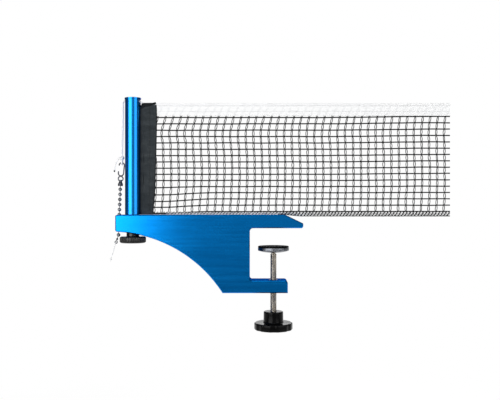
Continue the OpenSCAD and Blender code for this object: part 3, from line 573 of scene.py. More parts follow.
# ---- grown repeats ----
class Grower:
    """A Geometry Nodes tree whose sizes, in millimetres, are its named inputs."""

    def __init__(self, name, **sizes):
        self.name, self.sizes = name, {}
        self.tree = bpy.data.node_groups.new(name, "GeometryNodeTree")
        face = self.tree.interface
        face.new_socket("Base", in_out="INPUT", socket_type="NodeSocketGeometry")
        for size, value in sizes.items():
            kind = "NodeSocketInt" if isinstance(value, int) else "NodeSocketFloat"
            socket = face.new_socket(size, in_out="INPUT", socket_type=kind)
            socket.default_value = value
            self.sizes[size] = socket.identifier
        face.new_socket("Grown", in_out="OUTPUT", socket_type="NodeSocketGeometry")
        self.given = self.tree.nodes.new("NodeGroupInput")
        self.base = self.given.outputs["Base"]
        self.values = dict(sizes)

    def __getitem__(self, size):
        return Value(self.given.outputs[size])

    def add(self, kind, inputs=None, **settings):
        return add_node(self.tree, kind, inputs, **settings).outputs[0]

    def vector(self, x=0.0, y=0.0, z=0.0):
        return self.add("ShaderNodeCombineXYZ", {0: x, 1: y, 2: z})

    def position(self):
        parts = add_node(self.tree, "ShaderNodeSeparateXYZ", {0: self.add("GeometryNodeInputPosition")})
        return [Value(socket) for socket in parts.outputs]

    def noise(self, x, y, z=0.0):
        return Value(self.add("ShaderNodeTexNoise", {
            "Vector": self.vector(x, y, z), "Scale": 1.0, "Detail": 1.0, "Roughness": 0.4})) - 0.5

    def line(self, count, start, step):
        return self.add("GeometryNodeMeshLine", {"Count": count, "Start Location": start, "Offset": step})

    def on_points(self, points, instance, **more):
        return self.add("GeometryNodeInstanceOnPoints", {"Points": points, "Instance": instance, **more})

    def copies(self, points, instance):
        """Real copies, whose points can be moved one by one."""
        return self.add("GeometryNodeRealizeInstances", {"Geometry": self.on_points(points, instance)})

    def straight(self, start, end, points):
        line = self.add("GeometryNodeCurvePrimitiveLine", {"Start": start, "End": end})
        return self.add("GeometryNodeResampleCurve", {"Curve": line, "Count": points})

    def winding(self, resolution, radius):
        """A coil as long as Length, with one turn for each Pitch."""
        return self.add("GeometryNodeCurveSpiral", {
            "Resolution": resolution, "Rotations": self["Length"] / self["Pitch"], "Start Radius": radius,
            "End Radius": radius, "Height": self["Length"]})

    def sweep(self, curve, radius, sides):
        ring = self.add("GeometryNodeCurvePrimitiveCircle", {"Resolution": sides, "Radius": radius})
        return self.add("GeometryNodeCurveToMesh", {"Curve": curve, "Profile Curve": ring, "Fill Caps": True})

    def shift(self, geometry, offset):
        return self.add("GeometryNodeSetPosition", {"Geometry": geometry, "Offset": offset})

    def join(self, *parts):
        node = add_node(self.tree, "GeometryNodeJoinGeometry")
        for part in parts:
            plug(node.inputs[0], part)
        return node.outputs[0]

    def end(self, geometry):
        whole = self.add("GeometryNodeRealizeInstances", {"Geometry": geometry})
        smooth = self.add("GeometryNodeSetShadeSmooth", {"Geometry": whole})
        self.set_material = add_node(self.tree, "GeometryNodeSetMaterial", {"Geometry": smooth})
        done = self.tree.nodes.new("NodeGroupOutput")
        plug(done.inputs["Grown"], self.set_material.outputs[0])
        return self

    def grow(self, finish, base=None, place=None, sharp=None, **sizes):
        """Runs the tree on a base mesh in metres and returns the grown mesh, in metres."""
        self.set_material.inputs["Material"].default_value = finish.material
        ground = base.copy() if base else bpy.data.meshes.new(self.name)
        ground.transform(Matrix.Scale(1 / MM, 4))
        holder = bpy.data.objects.new(self.name, ground)
        bpy.context.scene.collection.objects.link(holder)
        modifier = holder.modifiers.new(self.name, "NODES")
        modifier.node_group = self.tree
        for size, value in {**self.values, **sizes}.items():
            modifier[self.sizes[size]] = value
        graph = bpy.context.evaluated_depsgraph_get()
        grown = bpy.data.meshes.new_from_object(holder.evaluated_get(graph), depsgraph=graph)
        bpy.data.objects.remove(holder)
        grown.transform(Matrix.Scale(MM, 4) @ (place or Matrix.Identity(4)))
        if sharp is not None:
            grown.set_sharp_from_angle(angle=math.radians(sharp))
        return grown


def row_grower():
    """Copies of the base along a straight line, each turned a little at random."""
    tree = Grower("row", Count=2, StepX=0.0, StepZ=1.0, Loose=0.0, Seed=7)
    points = tree.line(tree["Count"], (0, 0, 0), tree.vector(tree["StepX"], 0.0, tree["StepZ"]))
    turn = tree.add("FunctionNodeRandomValue", {0: (-1, -1, -1), "Seed": tree["Seed"]},
                    data_type="FLOAT_VECTOR")
    loose = tree.add("ShaderNodeVectorMath", {0: turn, "Scale": tree["Loose"]}, operation="SCALE")
    return tree.end(tree.on_points(points, tree.base, Rotation=loose))


def ring_grower():
    """Copies of the base round the Z axis, as the ribs of a wheel are."""
    tree = Grower("ring", Count=12, Radius=10.0)
    points = tree.add("GeometryNodeMeshCircle", {"Vertices": tree["Count"], "Radius": tree["Radius"]})
    return tree.end(tree.on_points(points, tree.base))


def thread_grower():
    """A screw thread: a six-sided ridge wound round the base."""
    tree = Grower("thread", Pitch=1.25, Length=80.0, Root=3.25, Ridge=0.62, Foot=0.0)
    upright = tree.add("GeometryNodeSetCurveNormal", {"Curve": tree.winding(28, tree["Root"])}, mode="Z_UP")
    ridge = tree.sweep(upright, tree["Ridge"], 6)
    ridge = tree.add("GeometryNodeTransform", {"Geometry": ridge, "Translation": tree.vector(z=tree["Foot"])})
    return tree.end(tree.join(tree.base, ridge))


row, ring, thread = row_grower(), ring_grower(), thread_grower()


def make_stitch(length, radius, finish):
    """A short thread laid along X."""
    shell = Shell()
    shell.tube([(-length / 2 + radius, 0, 0), (0, 0, radius * 0.35), (length / 2 - radius, 0, 0)], radius, 6)
    return shell.mesh("stitch", finish)


# ---- clamp screw, pad and knob ----
ROD_R, ROD_TOP, KNOB_FOOT = 3.9, -31.4, -124.3


def make_clamp_rod():
    ridge, socket_r = 0.48, 2.1
    root, foot = ROD_R - ridge, KNOB_FOOT + 5
    collar_r = root + 0.35
    core = Shell().lathe(
        [(0, foot), (root, foot), (root, ROD_TOP - 2.2), (collar_r, ROD_TOP - 1.6), (collar_r, ROD_TOP - 0.9),
         (root - 0.4, ROD_TOP), (socket_r, ROD_TOP), (socket_r, ROD_TOP - 4), (0, ROD_TOP - 4)], 40)
    mesh = thread.grow(screw_steel, core.mesh("core", screw_steel), sharp=28, Root=root, Ridge=ridge,
                       Foot=foot + 0.6, Length=ROD_TOP - foot - 2.6)
    set_piece("clamp_rod", mesh, "clamp_screw")


def knob_rim(angle):
    """How far the knob's rim reaches: seven lobes, parted by shallow round scallops with soft edges."""
    rim, scallop, depth, lobes, soft, floor = 23.4, 9.0, 0.8, 7, 3.0, 20
    step = TURN / lobes
    off = (angle - math.radians(270) + step / 2) % step - step / 2
    centre = rim + scallop - depth
    reach = rim
    if abs(centre * math.sin(off)) < scallop:
        reach = centre * math.cos(off) - math.sqrt(scallop ** 2 - (centre * math.sin(off)) ** 2)
    return -math.log(math.exp(-soft * (rim - floor)) + math.exp(-soft * (reach - floor))) / soft + floor


def make_clamp_knob():
    rim_h, height, hub_r, bore_r, recess, sides = 8.8, 22.5, 12.1, 4.15, 1.4, 7 * 26

    def flat(*profile):
        return [circle(r, KNOB_FOOT + h, sides) for r, h in profile]

    def lobed(inset, h):
        angles = [TURN * k / sides for k in range(sides)]
        return [((knob_rim(a) - inset) * math.cos(a), (knob_rim(a) - inset) * math.sin(a), KNOB_FOOT + h)
                for a in angles]

    rings = flat((6, recess), (13.2, recess), (13.8, 1.2), (14.0, 0.7), (14.1, 0.25), (14.4, 0.05),
                 (14.8, 0.0))
    rings += [lobed(inset, h) for inset, h in (
        (2.0, 0.0), (1.4, 0.06), (0.8, 0.26), (0.35, 0.6), (0.08, 1.1), (0.0, 1.7), (0.0, 7.4), (0.12, 8.0),
        (0.45, 8.45), (0.95, 8.72), (1.7, rim_h))]
    rings += flat(*arc(hub_r + 1.6, rim_h + 1.6, 1.6, -90, -180), (hub_r - 0.15, height - 2.2),
                  *arc(hub_r - 1.5, height - 1.3, 1.3, 0, 90), (5.4, height), (4.6, height - 0.1),
                  (bore_r, height - 0.6), (bore_r, 6.0))
    shell = Shell().skin(rings, (0, 0, KNOB_FOOT + recess), (0, 0, KNOB_FOOT + 6.0))
    set_piece("clamp_knob", shell.mesh("clamp_knob", knob_black, 50), "clamp_screw")


def make_pad():
    ball_z, socket_r, joint_z, face_z, sides = -28.3, 3.28, -23.7, -22.2, 96
    profile = [(0, joint_z), (17.2, joint_z)] + arc(18.2, joint_z - 0.8, 0.8, 90, 0, 4)
    profile += [(18.98, -25.2), (19.0, -26.2)] + arc(18.0, -27.0, 1.0, 0, -62, 4)
    profile += [(17.6, -28.1), (15.4, -28.75), (12.7, -29.35), (10.0, -29.8), (8.0, -30.02), (6.6, -30.17)]
    profile += [(6.0, -30.2), (3.4, -30.2), (2.75, -30.1)]
    profile += arc(0, ball_z, socket_r, -35.4, 90, 10)[:-1] + [(0, ball_z + socket_r)]
    cup = Shell().lathe(profile, sides)
    set_piece("pad_cup", cup.mesh("pad_cup", pad_chrome, 50), "pad")
    profile = [(0, face_z), (6, face_z), (12, face_z), (17.4, face_z)] + arc(18.1, face_z - 0.7, 0.7, 90, 0)
    facing = Shell().lathe(profile + [(18.8, -23.5), (18.7, joint_z), (0, joint_z)], sides)
    set_piece("pad_facing", facing.mesh("pad_facing", pad_rubber, 50), "pad")


# ---- height wheel ----
POST_X = -171.8


def make_height_wheel():
    foot, top, hub_top, bore_foot = -18.35, -10.55, -4.85, -16.15
    body_r, hub_r, bore_r, round_r = 15.35, 7.7, 3.95, 1.3
    rim_r, rib_r, ribs = 15.9, 0.85, 36
    profile = [(0, foot + 0.5), (11.6, foot + 0.5), (12.4, foot + 0.35), (12.9, foot)]
    profile += arc(body_r - round_r, foot + round_r, round_r, -90, 0)
    profile += arc(body_r - round_r, top - round_r, round_r, 0, 90)
    profile += [(hub_r + 0.9, top)] + arc(hub_r + 0.9, top + 0.9, 0.9, -90, -180, 4)
    profile += arc(hub_r - 0.6, hub_top - 0.6, 0.6, 0, 90, 4)
    profile += [(bore_r, hub_top), (bore_r, bore_foot), (0, bore_foot)]
    body = Shell().lathe(profile, 120)
    rib = Shell()
    rib.tube([(0, 0, foot + 1.5), (0, 0, (foot + top) / 2), (0, 0, top - 1.5)], rib_r, 8)
    grown = ring.grow(wheel_black, rib.mesh("rib", wheel_black), Count=ribs, Radius=rim_r - rib_r)
    mesh = join_meshes("height_wheel", [body.mesh("wheel", wheel_black, 50), grown])
    mesh.transform(Matrix.Translation((POST_X * MM, 0, 0)))
    set_piece("height_wheel", mesh, "adjuster")


# ---- side band ----
BAND_X, BAND_FOOT, CORD_Z = -162.0, 16.35, 151.0
BAND_TURN = BAND_X + 0.8
LEVEL_SEAM = 137.0
OUTER_PLY, INNER_PLY = 0.8, 0.3
LOW_ROWS, FLAP_ROWS = 60, 14
# The edge beside the net, as (height, x).
BAND_EDGE = [(16.9, -146.7), (26.0, -146.2), (46.0, -144.4), (82.0, -143.3), (120.0, -142.5), (137.0, -142.2),
             (148.6, -142.6), (151.0, -143.0), (153.5, -143.9)]
# The flap's foot and the band's top, as (x, height).
BAND_FLAP = [(-162.0, 144.9), (-161.2, 145.2), (-157.3, 147.7), (-150.5, 148.9), (-144.9, 151.4),
             (-142.5, 151.6)]
BAND_TOP = [(-162.0, 149.6), (-161.2, 151.2), (-160.2, 152.2), (-158.7, 152.7), (-157.5, 152.8),
            (-147.2, 152.9), (-145.0, 153.6), (-144.4, 153.9), (-143.9, 153.6), (-143.2, 152.8),
            (-142.5, 152.0)]


def band_height(x, level):
    """How high a row of the band's cloth lies at x. The rows past LOW_ROWS are on the flap over the cord."""
    flap = min(on_line(BAND_FLAP, x), on_line(BAND_TOP, x) - 0.4)
    if level <= LOW_ROWS:
        return BAND_FOOT + (flap - BAND_FOOT) * level / LOW_ROWS
    return flap + (on_line(BAND_TOP, x) - flap) * (level - LOW_ROWS) / FLAP_ROWS


def band_bulge(x, z, level, ply, from_edge):
    """How far a ply stands out from the band's middle: more over the turned edge, the flap and the cord."""
    outside = ply == OUTER_PLY
    out = ply
    if outside:
        out += 0.10 * wave_noise(z * 0.21 + x * 0.6, z * 0.09 - x * 0.9, z * 0.043 + 2.0)
        out -= 0.22 * math.exp(-((x - BAND_SEAM) / 0.5) ** 2) + 0.2 * math.exp(-((z - LEVEL_SEAM) / 0.7) ** 2)
        out += 0.2 * step_between(1.3, 0.9, from_edge) + (0.3 if level > LOW_ROWS else 0.0)
    cord_z = CORD_Z + 0.62 * max(0.0, -157.9 - x)
    reach, least = (1.75, 0.35) if outside else (1.35, 0.04)
    round_cord = math.sqrt(max(0.0, reach ** 2 - (z - cord_z) ** 2))
    over = max(least if z > cord_z else out, round_cord)
    return out + (over - out) * step_between(-161.9, -161.0, x)


def band_face(ply):
    """One face of the band's cloth: from the net's edge to the fold beside the post, round it and back."""
    hem, spots_across, fold = (0.0, 0.25, 0.5, 0.9, 1.3), 30, 8
    slot_foot, foot_reach, edge_x = 28.4, 1.0, -145.0
    grid = []
    for level in [*range(LOW_ROWS + 1), LOW_ROWS + 0.15, *range(LOW_ROWS + 1, LOW_ROWS + FLAP_ROWS + 1)]:
        edge = on_line(BAND_EDGE, band_height(edge_x, level))
        turn_z = band_height(BAND_TURN, level)
        turn_x = BAND_TURN - foot_reach * step_between(slot_foot + 1.2, slot_foot, turn_z)
        wide = edge - turn_x
        bulge = band_bulge(BAND_TURN, turn_z, level, ply, wide)
        spots = [*hem, *(hem[-1] + (wide - hem[-1]) * k / spots_across for k in range(1, spots_across + 1))]
        front = []
        for spot in spots:
            x, z = edge - spot, band_height(edge - spot, level)
            front.append((x, -band_bulge(x, z, level, ply, spot), z))
        turn = []
        for a in (math.pi * k / fold for k in range(1, fold)):
            x = turn_x - bulge * math.sin(a)
            turn.append((x, -bulge * math.cos(a), band_height(x, level)))
        grid.append(front + turn + [(x, -y, z) for x, y, z in front[::-1]])
    return grid


def sleeve_face(radius, stem):
    """One face of the sleeve on the rod, with the stem that joins it to the band through the post's slot."""
    rod_x, foot, top, rows, steps = -167.2, 28.9, 147.3, 24, 30
    stem_x = (-158.0, -160.5, -163.0)
    bend = math.asin(stem / radius)
    turns = [-bend - (TURN - 2 * bend) * k / steps for k in range(steps + 1)]
    return [[(x, -stem, z) for x in stem_x]
            + [(rod_x + radius * math.cos(a), radius * math.sin(a), z) for a in turns]
            + [(x, stem, z) for x in stem_x[::-1]]
            for z in (foot + (top - foot) * k / rows for k in range(rows + 1))]


def band_stitches():
    """Two upright rows beside the net and a short level row, on both faces."""
    pitch = 3.05
    level = make_stitch(2.2, 0.16, stitch_dark)
    upright = level.copy()
    upright.transform(Matrix.Rotation(math.radians(90), 4, "Y"))
    parts = []
    for side in (-1, 1):
        for x, lean in ((BAND_SEAM, 0.0), (-148.4, 0.1)):
            place = Matrix.Translation((x, side * 0.72, BAND_FOOT + 3.2))
            parts.append(row.grow(stitch_dark, upright, place, Count=41, StepX=lean, StepZ=pitch, Loose=0.05))
        place = Matrix.Translation((BAND_X + 2.4, side * 0.68, LEVEL_SEAM))
        parts.append(row.grow(stitch_dark, level, place, Count=6, StepX=pitch, StepZ=0.0, Loose=0.05))
    return parts


def make_side_band():
    """The band on the post's rail: two plies, turned in at the net's side, and a flap over the cord."""
    column, column_x = 18, -152.0
    shell = Shell().cloth(band_face(OUTER_PLY), band_face(INNER_PLY), upright=column)
    band_cloth = make_band_cloth(shell.width, on_line(BAND_FLAP, column_x) - BAND_FOOT)
    shell.cloth(sleeve_face(3.1, 0.75), sleeve_face(2.6, 0.3))
    mesh = join_meshes("side_band", [shell.mesh("band", band_cloth, 60), *band_stitches()])
    piece = set_piece("side_band", mesh, "post")


# ---- net ----
NET_START, NET_END = -141.9, 215.8
ROW_TOP, ROW_PITCH, ROWS = 136.35, 7.76, 16
ROW_FOOT = ROW_TOP - ROW_PITCH * (ROWS - 1)
# The ends of the level strands and of the hem are tucked this far into the band.
TUCKED = -148.0
# How far the columns lean, in steps over the rows: (from this row, to this row, from this far, to this far).
COLUMN_LEAN = [(-1.6, 2.6, 3.1, -1.8), (3.0, 4.6, 0.0, 1.1), (5.0, 8.0, 0.0, 0.7), (9.5, 16.5, 0.0, -2.4)]
NET_SIZES = dict(Pitch=ROW_PITCH, Top=ROW_TOP, Wander=2.4, Jitter=1.6, Dip=3.2)
COLUMNS = dict(Columns=39, Column=COLUMN_PITCH, Last=209.6)


def net_warp(tree):
    """How far a point of the net strays sideways and up. The columns run straight from knot to knot.

    They lean most beside the band, where the low rows also dip.
    """
    x, _, z = tree.position()
    rows = (tree["Top"] - z) / tree["Pitch"]
    above = (rows + 0.001).floor()

    def stray(row):
        lean, *more = [row.between(*step) for step in COLUMN_LEAN]
        for step in more:
            lean = lean + step
        drift = tree.noise(x * 0.02, row * 0.42) * tree["Wander"]
        jitter = tree.noise(x * 0.55 + 40.0, row * 3.7) * tree["Jitter"]
        return lean * x.between(NET_START, NET_END, 1.35, 0.6) + drift + jitter

    upper, lower = stray(above), stray(above + 1.0)
    sway = upper + (lower - upper) * (rows - above)
    near = x.between(NET_START, NET_START + 70.0, 1.0, 0.0)
    dip = z.between(20.0, 36.0, 0.75, 1.0) * z.between(38.0, 62.0, 1.0, 0.0) * near * tree["Dip"]
    sag = x.between(60.0, 200.0, 1.5, 0.1) * z.between(24.0, 90.0)
    level = tree.noise(x * 0.03 + 9.0, rows * 1.7) * 0.9
    return sway, level - dip - sag


def row_places(tree):
    return tree.line(tree["Rows"], tree.vector(z=tree["Top"]), tree.vector(z=tree["Pitch"] * -1.0))


def column_places(tree):
    first = tree["Last"] - tree["Column"] * (tree["Columns"] - 1.0)
    return tree.line(tree["Columns"], tree.vector(first), tree.vector(tree["Column"]))


def level_grower():
    tree = Grower("level_strands", Rows=ROWS, Start=TUCKED, End=NET_END, Strand=0.86, **NET_SIZES)
    strand = tree.straight(tree.vector(tree["Start"]), tree.vector(tree["End"]), 190)
    strands = tree.copies(row_places(tree), strand)
    _, rise = net_warp(tree)
    return tree.end(tree.sweep(tree.shift(strands, tree.vector(z=rise)), tree["Strand"], 6))


def upright_grower():
    """One thread of each doubled upright: the two meet at a level strand and open between two of them."""
    tree = Grower("upright_threads", Above=2.0, Foot=ROW_FOOT - 0.3, Side=1.0, Closed=0.34, Open=0.66,
                  Thread=0.5, **COLUMNS, **NET_SIZES)
    strand = tree.straight(tree.vector(z=tree["Foot"]), tree.vector(z=tree["Top"] + tree["Above"]), 118)
    strands = tree.copies(column_places(tree), strand)
    sway, rise = net_warp(tree)
    x, _, z = tree.position()
    cell = ((z - tree["Top"]) * (math.pi / ROW_PITCH)).sin().size()
    uneven = tree.noise(x * 0.7, z * 0.11, 5.0) * 1.6 + 1.0
    spread = (cell * uneven * tree["Open"] + tree["Closed"]) * tree["Side"]
    strands = tree.shift(strands, tree.vector(sway + spread, tree["Side"] * 0.12, rise))
    return tree.end(tree.sweep(strands, tree["Thread"], 5))


def knot_grower():
    tree = Grower("net_knots", Rows=ROWS, Knot=0.88, **COLUMNS, **NET_SIZES)
    crossings = tree.copies(column_places(tree), row_places(tree))
    sway, rise = net_warp(tree)
    crossings = tree.shift(crossings, tree.vector(sway, 0.0, rise))
    knot = tree.add("GeometryNodeMeshUVSphere", {"Segments": 7, "Rings": 5, "Radius": tree["Knot"]})
    return tree.end(tree.on_points(crossings, knot, Scale=(1.25, 0.95, 0.9)))


def make_net():
    uprights = upright_grower()
    parts = [level_grower().grow(net_string), knot_grower().grow(net_string),
             uprights.grow(net_string, Side=1.0), uprights.grow(net_string, Side=-1.0)]
    set_piece("net_mesh", join_meshes("net_mesh", parts), "post")


# ---- tape ----
TAPE_START, TAPE_FOOT = -144.5, 137.0


def tape_face(flat, radius, seamed):
    """One face of the tape: up its front, round the cord and down its back. seamed shows the seams in it."""
    columns, roll = 200, 22
    heights = [TAPE_FOOT, 137.6, 138.6, 139.8, 141.0, 141.6, 142.1, 142.6, 143.6, 145.0, 146.6, 148.1, 148.9,
               149.3]
    bend = math.asin(flat / radius)
    turns = [bend + (TURN - 2 * bend) * k / roll for k in range(roll + 1)]

    def leaf(x, side, sway, rise):
        line = []
        for z in heights:
            out, loose = flat, step_between(147, 138, z)
            if seamed:
                out += 0.10 * wave_noise(x * 0.31 + z, x * 0.13 - z * 0.7)
                out -= sum(0.22 * math.exp(-((z - seam) / 0.5) ** 2) for seam in TAPE_SEAMS)
            line.append((x, side * out + sway * loose, z + rise * loose))
        return line

    grid = []
    for x in (TAPE_START + (NET_END - TAPE_START) * k / columns for k in range(columns + 1)):
        sway = 0.16 * wave_noise(x * 0.061, x * 0.137 + 2.0, x * 0.023)
        rise = 0.18 * wave_noise(x * 0.05, x * 0.11 + 1.0)
        over = [(x, -radius * math.sin(a), CORD_Z - radius * math.cos(a)) for a in turns]
        grid.append(leaf(x, -1, sway, rise) + over + leaf(x, 1, sway, rise)[::-1])
    return grid


def make_net_tape():
    stitches, pitch, stitch_y = 112, 3.17, 0.5
    shell = Shell().cloth(tape_face(0.6, 1.5, True), tape_face(0.22, 1.14, False))
    parts = [shell.mesh("tape", tape_cloth, 60)]
    stitch = make_stitch(2.3, 0.17, stitch_white)
    for seam in TAPE_SEAMS:
        for side in (-1, 1):
            place = Matrix.Translation((NET_START + 2.4, side * stitch_y, seam))
            parts.append(row.grow(stitch_white, stitch, place, Count=stitches, StepX=pitch, StepZ=0.0,
                                  Loose=0.06))
    piece = set_piece("net_tape", join_meshes("net_tape", parts), "post")


# ---- hem ----
HEM_SIZES = dict(Top=19.5, Short=1.45, Long=2.45, Clear=10.0)


def hem_reach(tree, x):
    """Half the hem's depth: less over the arm, and more where the hem hangs clear of it."""
    return x.between(tree["Clear"], tree["Clear"] + 26.0, tree["Short"], tree["Long"])


def hem_grower():
    """Yarn wound along the net's foot, as an overcast edge is."""
    tree = Grower("hem_yarn", Start=TUCKED, Length=100.0, Pitch=1.25, Yarn=0.33, Depth=0.75, Lean=0.0,
                  **HEM_SIZES)
    level = tree.add("GeometryNodeTransform", {
        "Geometry": tree.winding(9, 1.0), "Rotation": (0, math.radians(90), 0)})
    level = tree.shift(level, tree.vector(tree["Start"]))
    x, y, z = tree.position()
    waver = tree.noise(x * 0.35, 3.0) * 1.2 + tree.noise(x * 0.05, 8.0) * 0.6
    lean = z * (tree.noise(x * 0.12, 1.0) * 2.2 + tree["Lean"])
    height = (z - 1.0) * hem_reach(tree, x) + tree["Top"] + waver * (z * -1.0 + 1.0) * 0.2
    shaped = tree.add("GeometryNodeSetPosition", {
        "Geometry": level, "Position": tree.vector(x + lean, y * tree["Depth"], height)})
    return tree.end(tree.sweep(shaped, tree["Yarn"], 5))


def twine_grower():
    """A twine along the hem's foot."""
    tree = Grower("hem_twine", Start=6.0, End=NET_END, Twine=0.55, **HEM_SIZES)
    line = tree.straight(tree.vector(tree["Start"]), tree.vector(tree["End"]), 240)
    x, _, _ = tree.position()
    waver = tree.noise(x * 0.22, 2.0) * 0.5
    twine = tree.shift(line, tree.vector(z=tree["Top"] - hem_reach(tree, x) * 2.0 - 0.25 + waver))
    return tree.end(tree.sweep(twine, tree["Twine"], 6))


def make_hem():
    """Light yarn, a dark one wound over it that is thinner over the arm, and a dark twine at the foot."""
    light_start, twine_end, arm_end = -131.0, -128.0, 10.4
    dark = dict(Pitch=3.96, Depth=1.2, Lean=0.8)
    yarn, twine = hem_grower(), twine_grower()
    parts = [yarn.grow(light_yarn, Start=light_start, Length=NET_END - light_start),
             yarn.grow(dark_twine, Length=arm_end - TUCKED, Yarn=0.42, **dark),
             yarn.grow(dark_twine, Start=arm_end, Length=NET_END - arm_end, Yarn=0.68, **dark),
             twine.grow(dark_twine), twine.grow(dark_twine, Start=TUCKED, End=twine_end, Top=20.1)]
    set_piece("net_hem", join_meshes("net_hem", parts), "post")


# ---- cord ----
CORD_R, CORD_TOP_Z = 1.1, 154.6
# Where the head cord ends and its drop starts.
CORD_SPLIT_X = -181.7
HOOK_X, HOOK_Z = -185.05, 79.56
KNOT_Z = HOOK_Z + 5.8


def make_head_cord():
    """The cord in the tape, and its rise to the guide hole in the post's cap."""
    bend_x, end_x = -153.5, NET_END - 0.2
    bend = [(-156.5, 0, CORD_Z), (-158.0, 0, 151.1), (-159.0, 0, 151.6), (-162.0, 0, 153.6),
            (-163.5, 0, 154.3), (-165.5, 0, CORD_TOP_Z), (-173.0, 0, CORD_TOP_Z),
            (CORD_SPLIT_X, 0, CORD_TOP_Z)]
    run = [(end_x - (end_x - bend_x) * k / 40, 0, CORD_Z) for k in range(41)]
    shell = Shell()
    shell.tube(run + smooth_path(bend, 5), CORD_R, round_ends=False)
    set_piece("head_cord", shell.mesh("head_cord", white_cord, 60), "post")


def make_cord_drop():
    """The cord outside the post, from the guide hole down to its knot at the hook."""
    turn_r = 1.8
    turn = [(-182.1 - turn_r * math.sin(a), 0, CORD_TOP_Z - turn_r * (1 - math.cos(a)))
            for a in (math.radians(15 * k) for k in range(7))]
    drop = [(-183.9, 0, 152.0), (-183.9, 0, 144.6), (-184.15, 0, 130.0), (-184.45, 0, 115.0),
            (-184.75, 0, 101.0), (HOOK_X, 0, KNOT_Z + 2.0)]
    shell = Shell()
    start = Vector((CORD_SPLIT_X, 0, CORD_TOP_Z))
    shell.tube([start] + turn + smooth_path(drop, 6), CORD_R, round_ends=False)
    piece = set_piece("cord_drop", shell.mesh("cord_drop", white_cord, 60), None)
    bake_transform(piece)


def overhand(size, height, steps=72):
    """The closed run of a cord in an overhand knot."""
    return [(size * (math.sin(t) + 2 * math.sin(2 * t)) / 3, size * (math.cos(t) - 2 * math.cos(2 * t)) / 3,
             -height * math.sin(3 * t)) for t in (TURN * k / steps for k in range(steps))]


def make_cord_knot():
    """The cord's loop over the hook, its knot, and the free tip with a burnt end."""
    loop_r, tip_y = 2.1, -1.4
    over = [(HOOK_X, -loop_r * math.cos(a), HOOK_Z + loop_r * -math.sin(a))
            for a in (math.radians(180 * k / 14) for k in range(15))]
    leg = smooth_path([(HOOK_X, -0.6, KNOT_Z + 0.6), (HOOK_X, -1.7, KNOT_Z - 2.2),
                       (HOOK_X, -loop_r, HOOK_Z + 1.6)], 5)[:-1]
    tip = smooth_path([(HOOK_X - 0.6, -0.8, KNOT_Z), (HOOK_X - 3.5, -1.2, KNOT_Z - 0.6),
                       (HOOK_X - 6, tip_y, KNOT_Z - 3), (HOOK_X - 7.8, tip_y, KNOT_Z - 7.5),
                       (HOOK_X - 8.6, tip_y, KNOT_Z - 12), (HOOK_X - 9, tip_y, KNOT_Z - 15.6)], 5)
    shell, end = Shell(), Shell()
    shell.tube(leg + over + [(x, -y, z) for x, y, z in leg[::-1]], CORD_R)
    shell.tube(overhand(2.1, 0.95), 0.92, 10, loop=True,
               place=Matrix.Translation((HOOK_X, 0, KNOT_Z)) @ Matrix.Rotation(0.35, 4, "X"))
    shell.tube(tip, [CORD_R * (1 - 0.15 * k / len(tip)) for k in range(len(tip))])
    end.tube([(HOOK_X - 9, tip_y, KNOT_Z - 15.4), (HOOK_X - 9.02, tip_y, KNOT_Z - 16.0),
              (HOOK_X - 9.05, tip_y, KNOT_Z - 16.5)], [0.98, 1.08, 0.8])
    mesh = join_meshes("cord_knot", [shell.mesh("loop", white_cord, 60), end.mesh("burnt", oxide_steel, 60)])
    set_piece("cord_knot", mesh, "chain")


# ---- chain ----
CHAIN_LEAN, TAIL_LEAN = 2.2, 18.0
BALL_R, BALL_PITCH, LAST_BALL, BALLS = 2.25, 6.2, -4.6, 10
CAVITY_R = BALL_R - 0.4
HEAD_R = (CAVITY_R - 0.05) / 2 - 0.05
HEAD_S = CAVITY_R - 0.05 - HEAD_R
ON_CHAIN = Matrix.Translation((-189.2, 0, -4.1)) @ Matrix.Rotation(math.radians(CHAIN_LEAN), 4, "Y")
TAIL_PIVOT = ON_CHAIN @ Vector((0, 0, LAST_BALL))
ON_TAIL = Matrix.Translation(TAIL_PIVOT) @ Matrix.Rotation(math.radians(180 + TAIL_LEAN), 4, "Y")


def make_ball():
    """A rolled hollow ball with a small turned-in hole at each end and a faint seam round its middle."""
    seam, sides, steps = 0.035, 28, 22
    hole = math.asin((HEAD_R - 0.05) / BALL_R)
    pole = BALL_R * math.cos(hole)
    outside = [math.pi / 2 - hole - (math.pi - 2 * hole) * k / steps for k in range(steps + 1)]
    profile = [(HEAD_R - 0.1, pole - 0.35), (HEAD_R - 0.1, pole - 0.05)]
    for a in outside:
        groove = seam if abs(a) < 0.05 else 0
        profile.append(((BALL_R - groove) * math.cos(a), BALL_R * math.sin(a)))
    profile += [(r, -h) for r, h in profile[1::-1]] + [(CAVITY_R * 0.6, -1.2), (CAVITY_R * 0.6, 1.2)]
    return Shell().skin([circle(r, h, sides) for r, h in profile], loop=True).mesh("ball", chain_nickel, 50)


def make_pin():
    """A dumbbell pin with a round head inside each of the two balls that it joins."""
    length = BALL_PITCH - 2 * HEAD_S
    head = arc(0, 0, HEAD_R, -90, 32, 6)[1:]
    profile = [(0, -HEAD_R)] + head + [(0.45, 0.9), (0.42, length / 2), (0.45, length - 0.9)]
    profile += [(r, length - h) for r, h in head[::-1]] + [(0, length + HEAD_R)]
    return Shell().lathe(profile, 16).mesh("pin", hook_steel, 60)


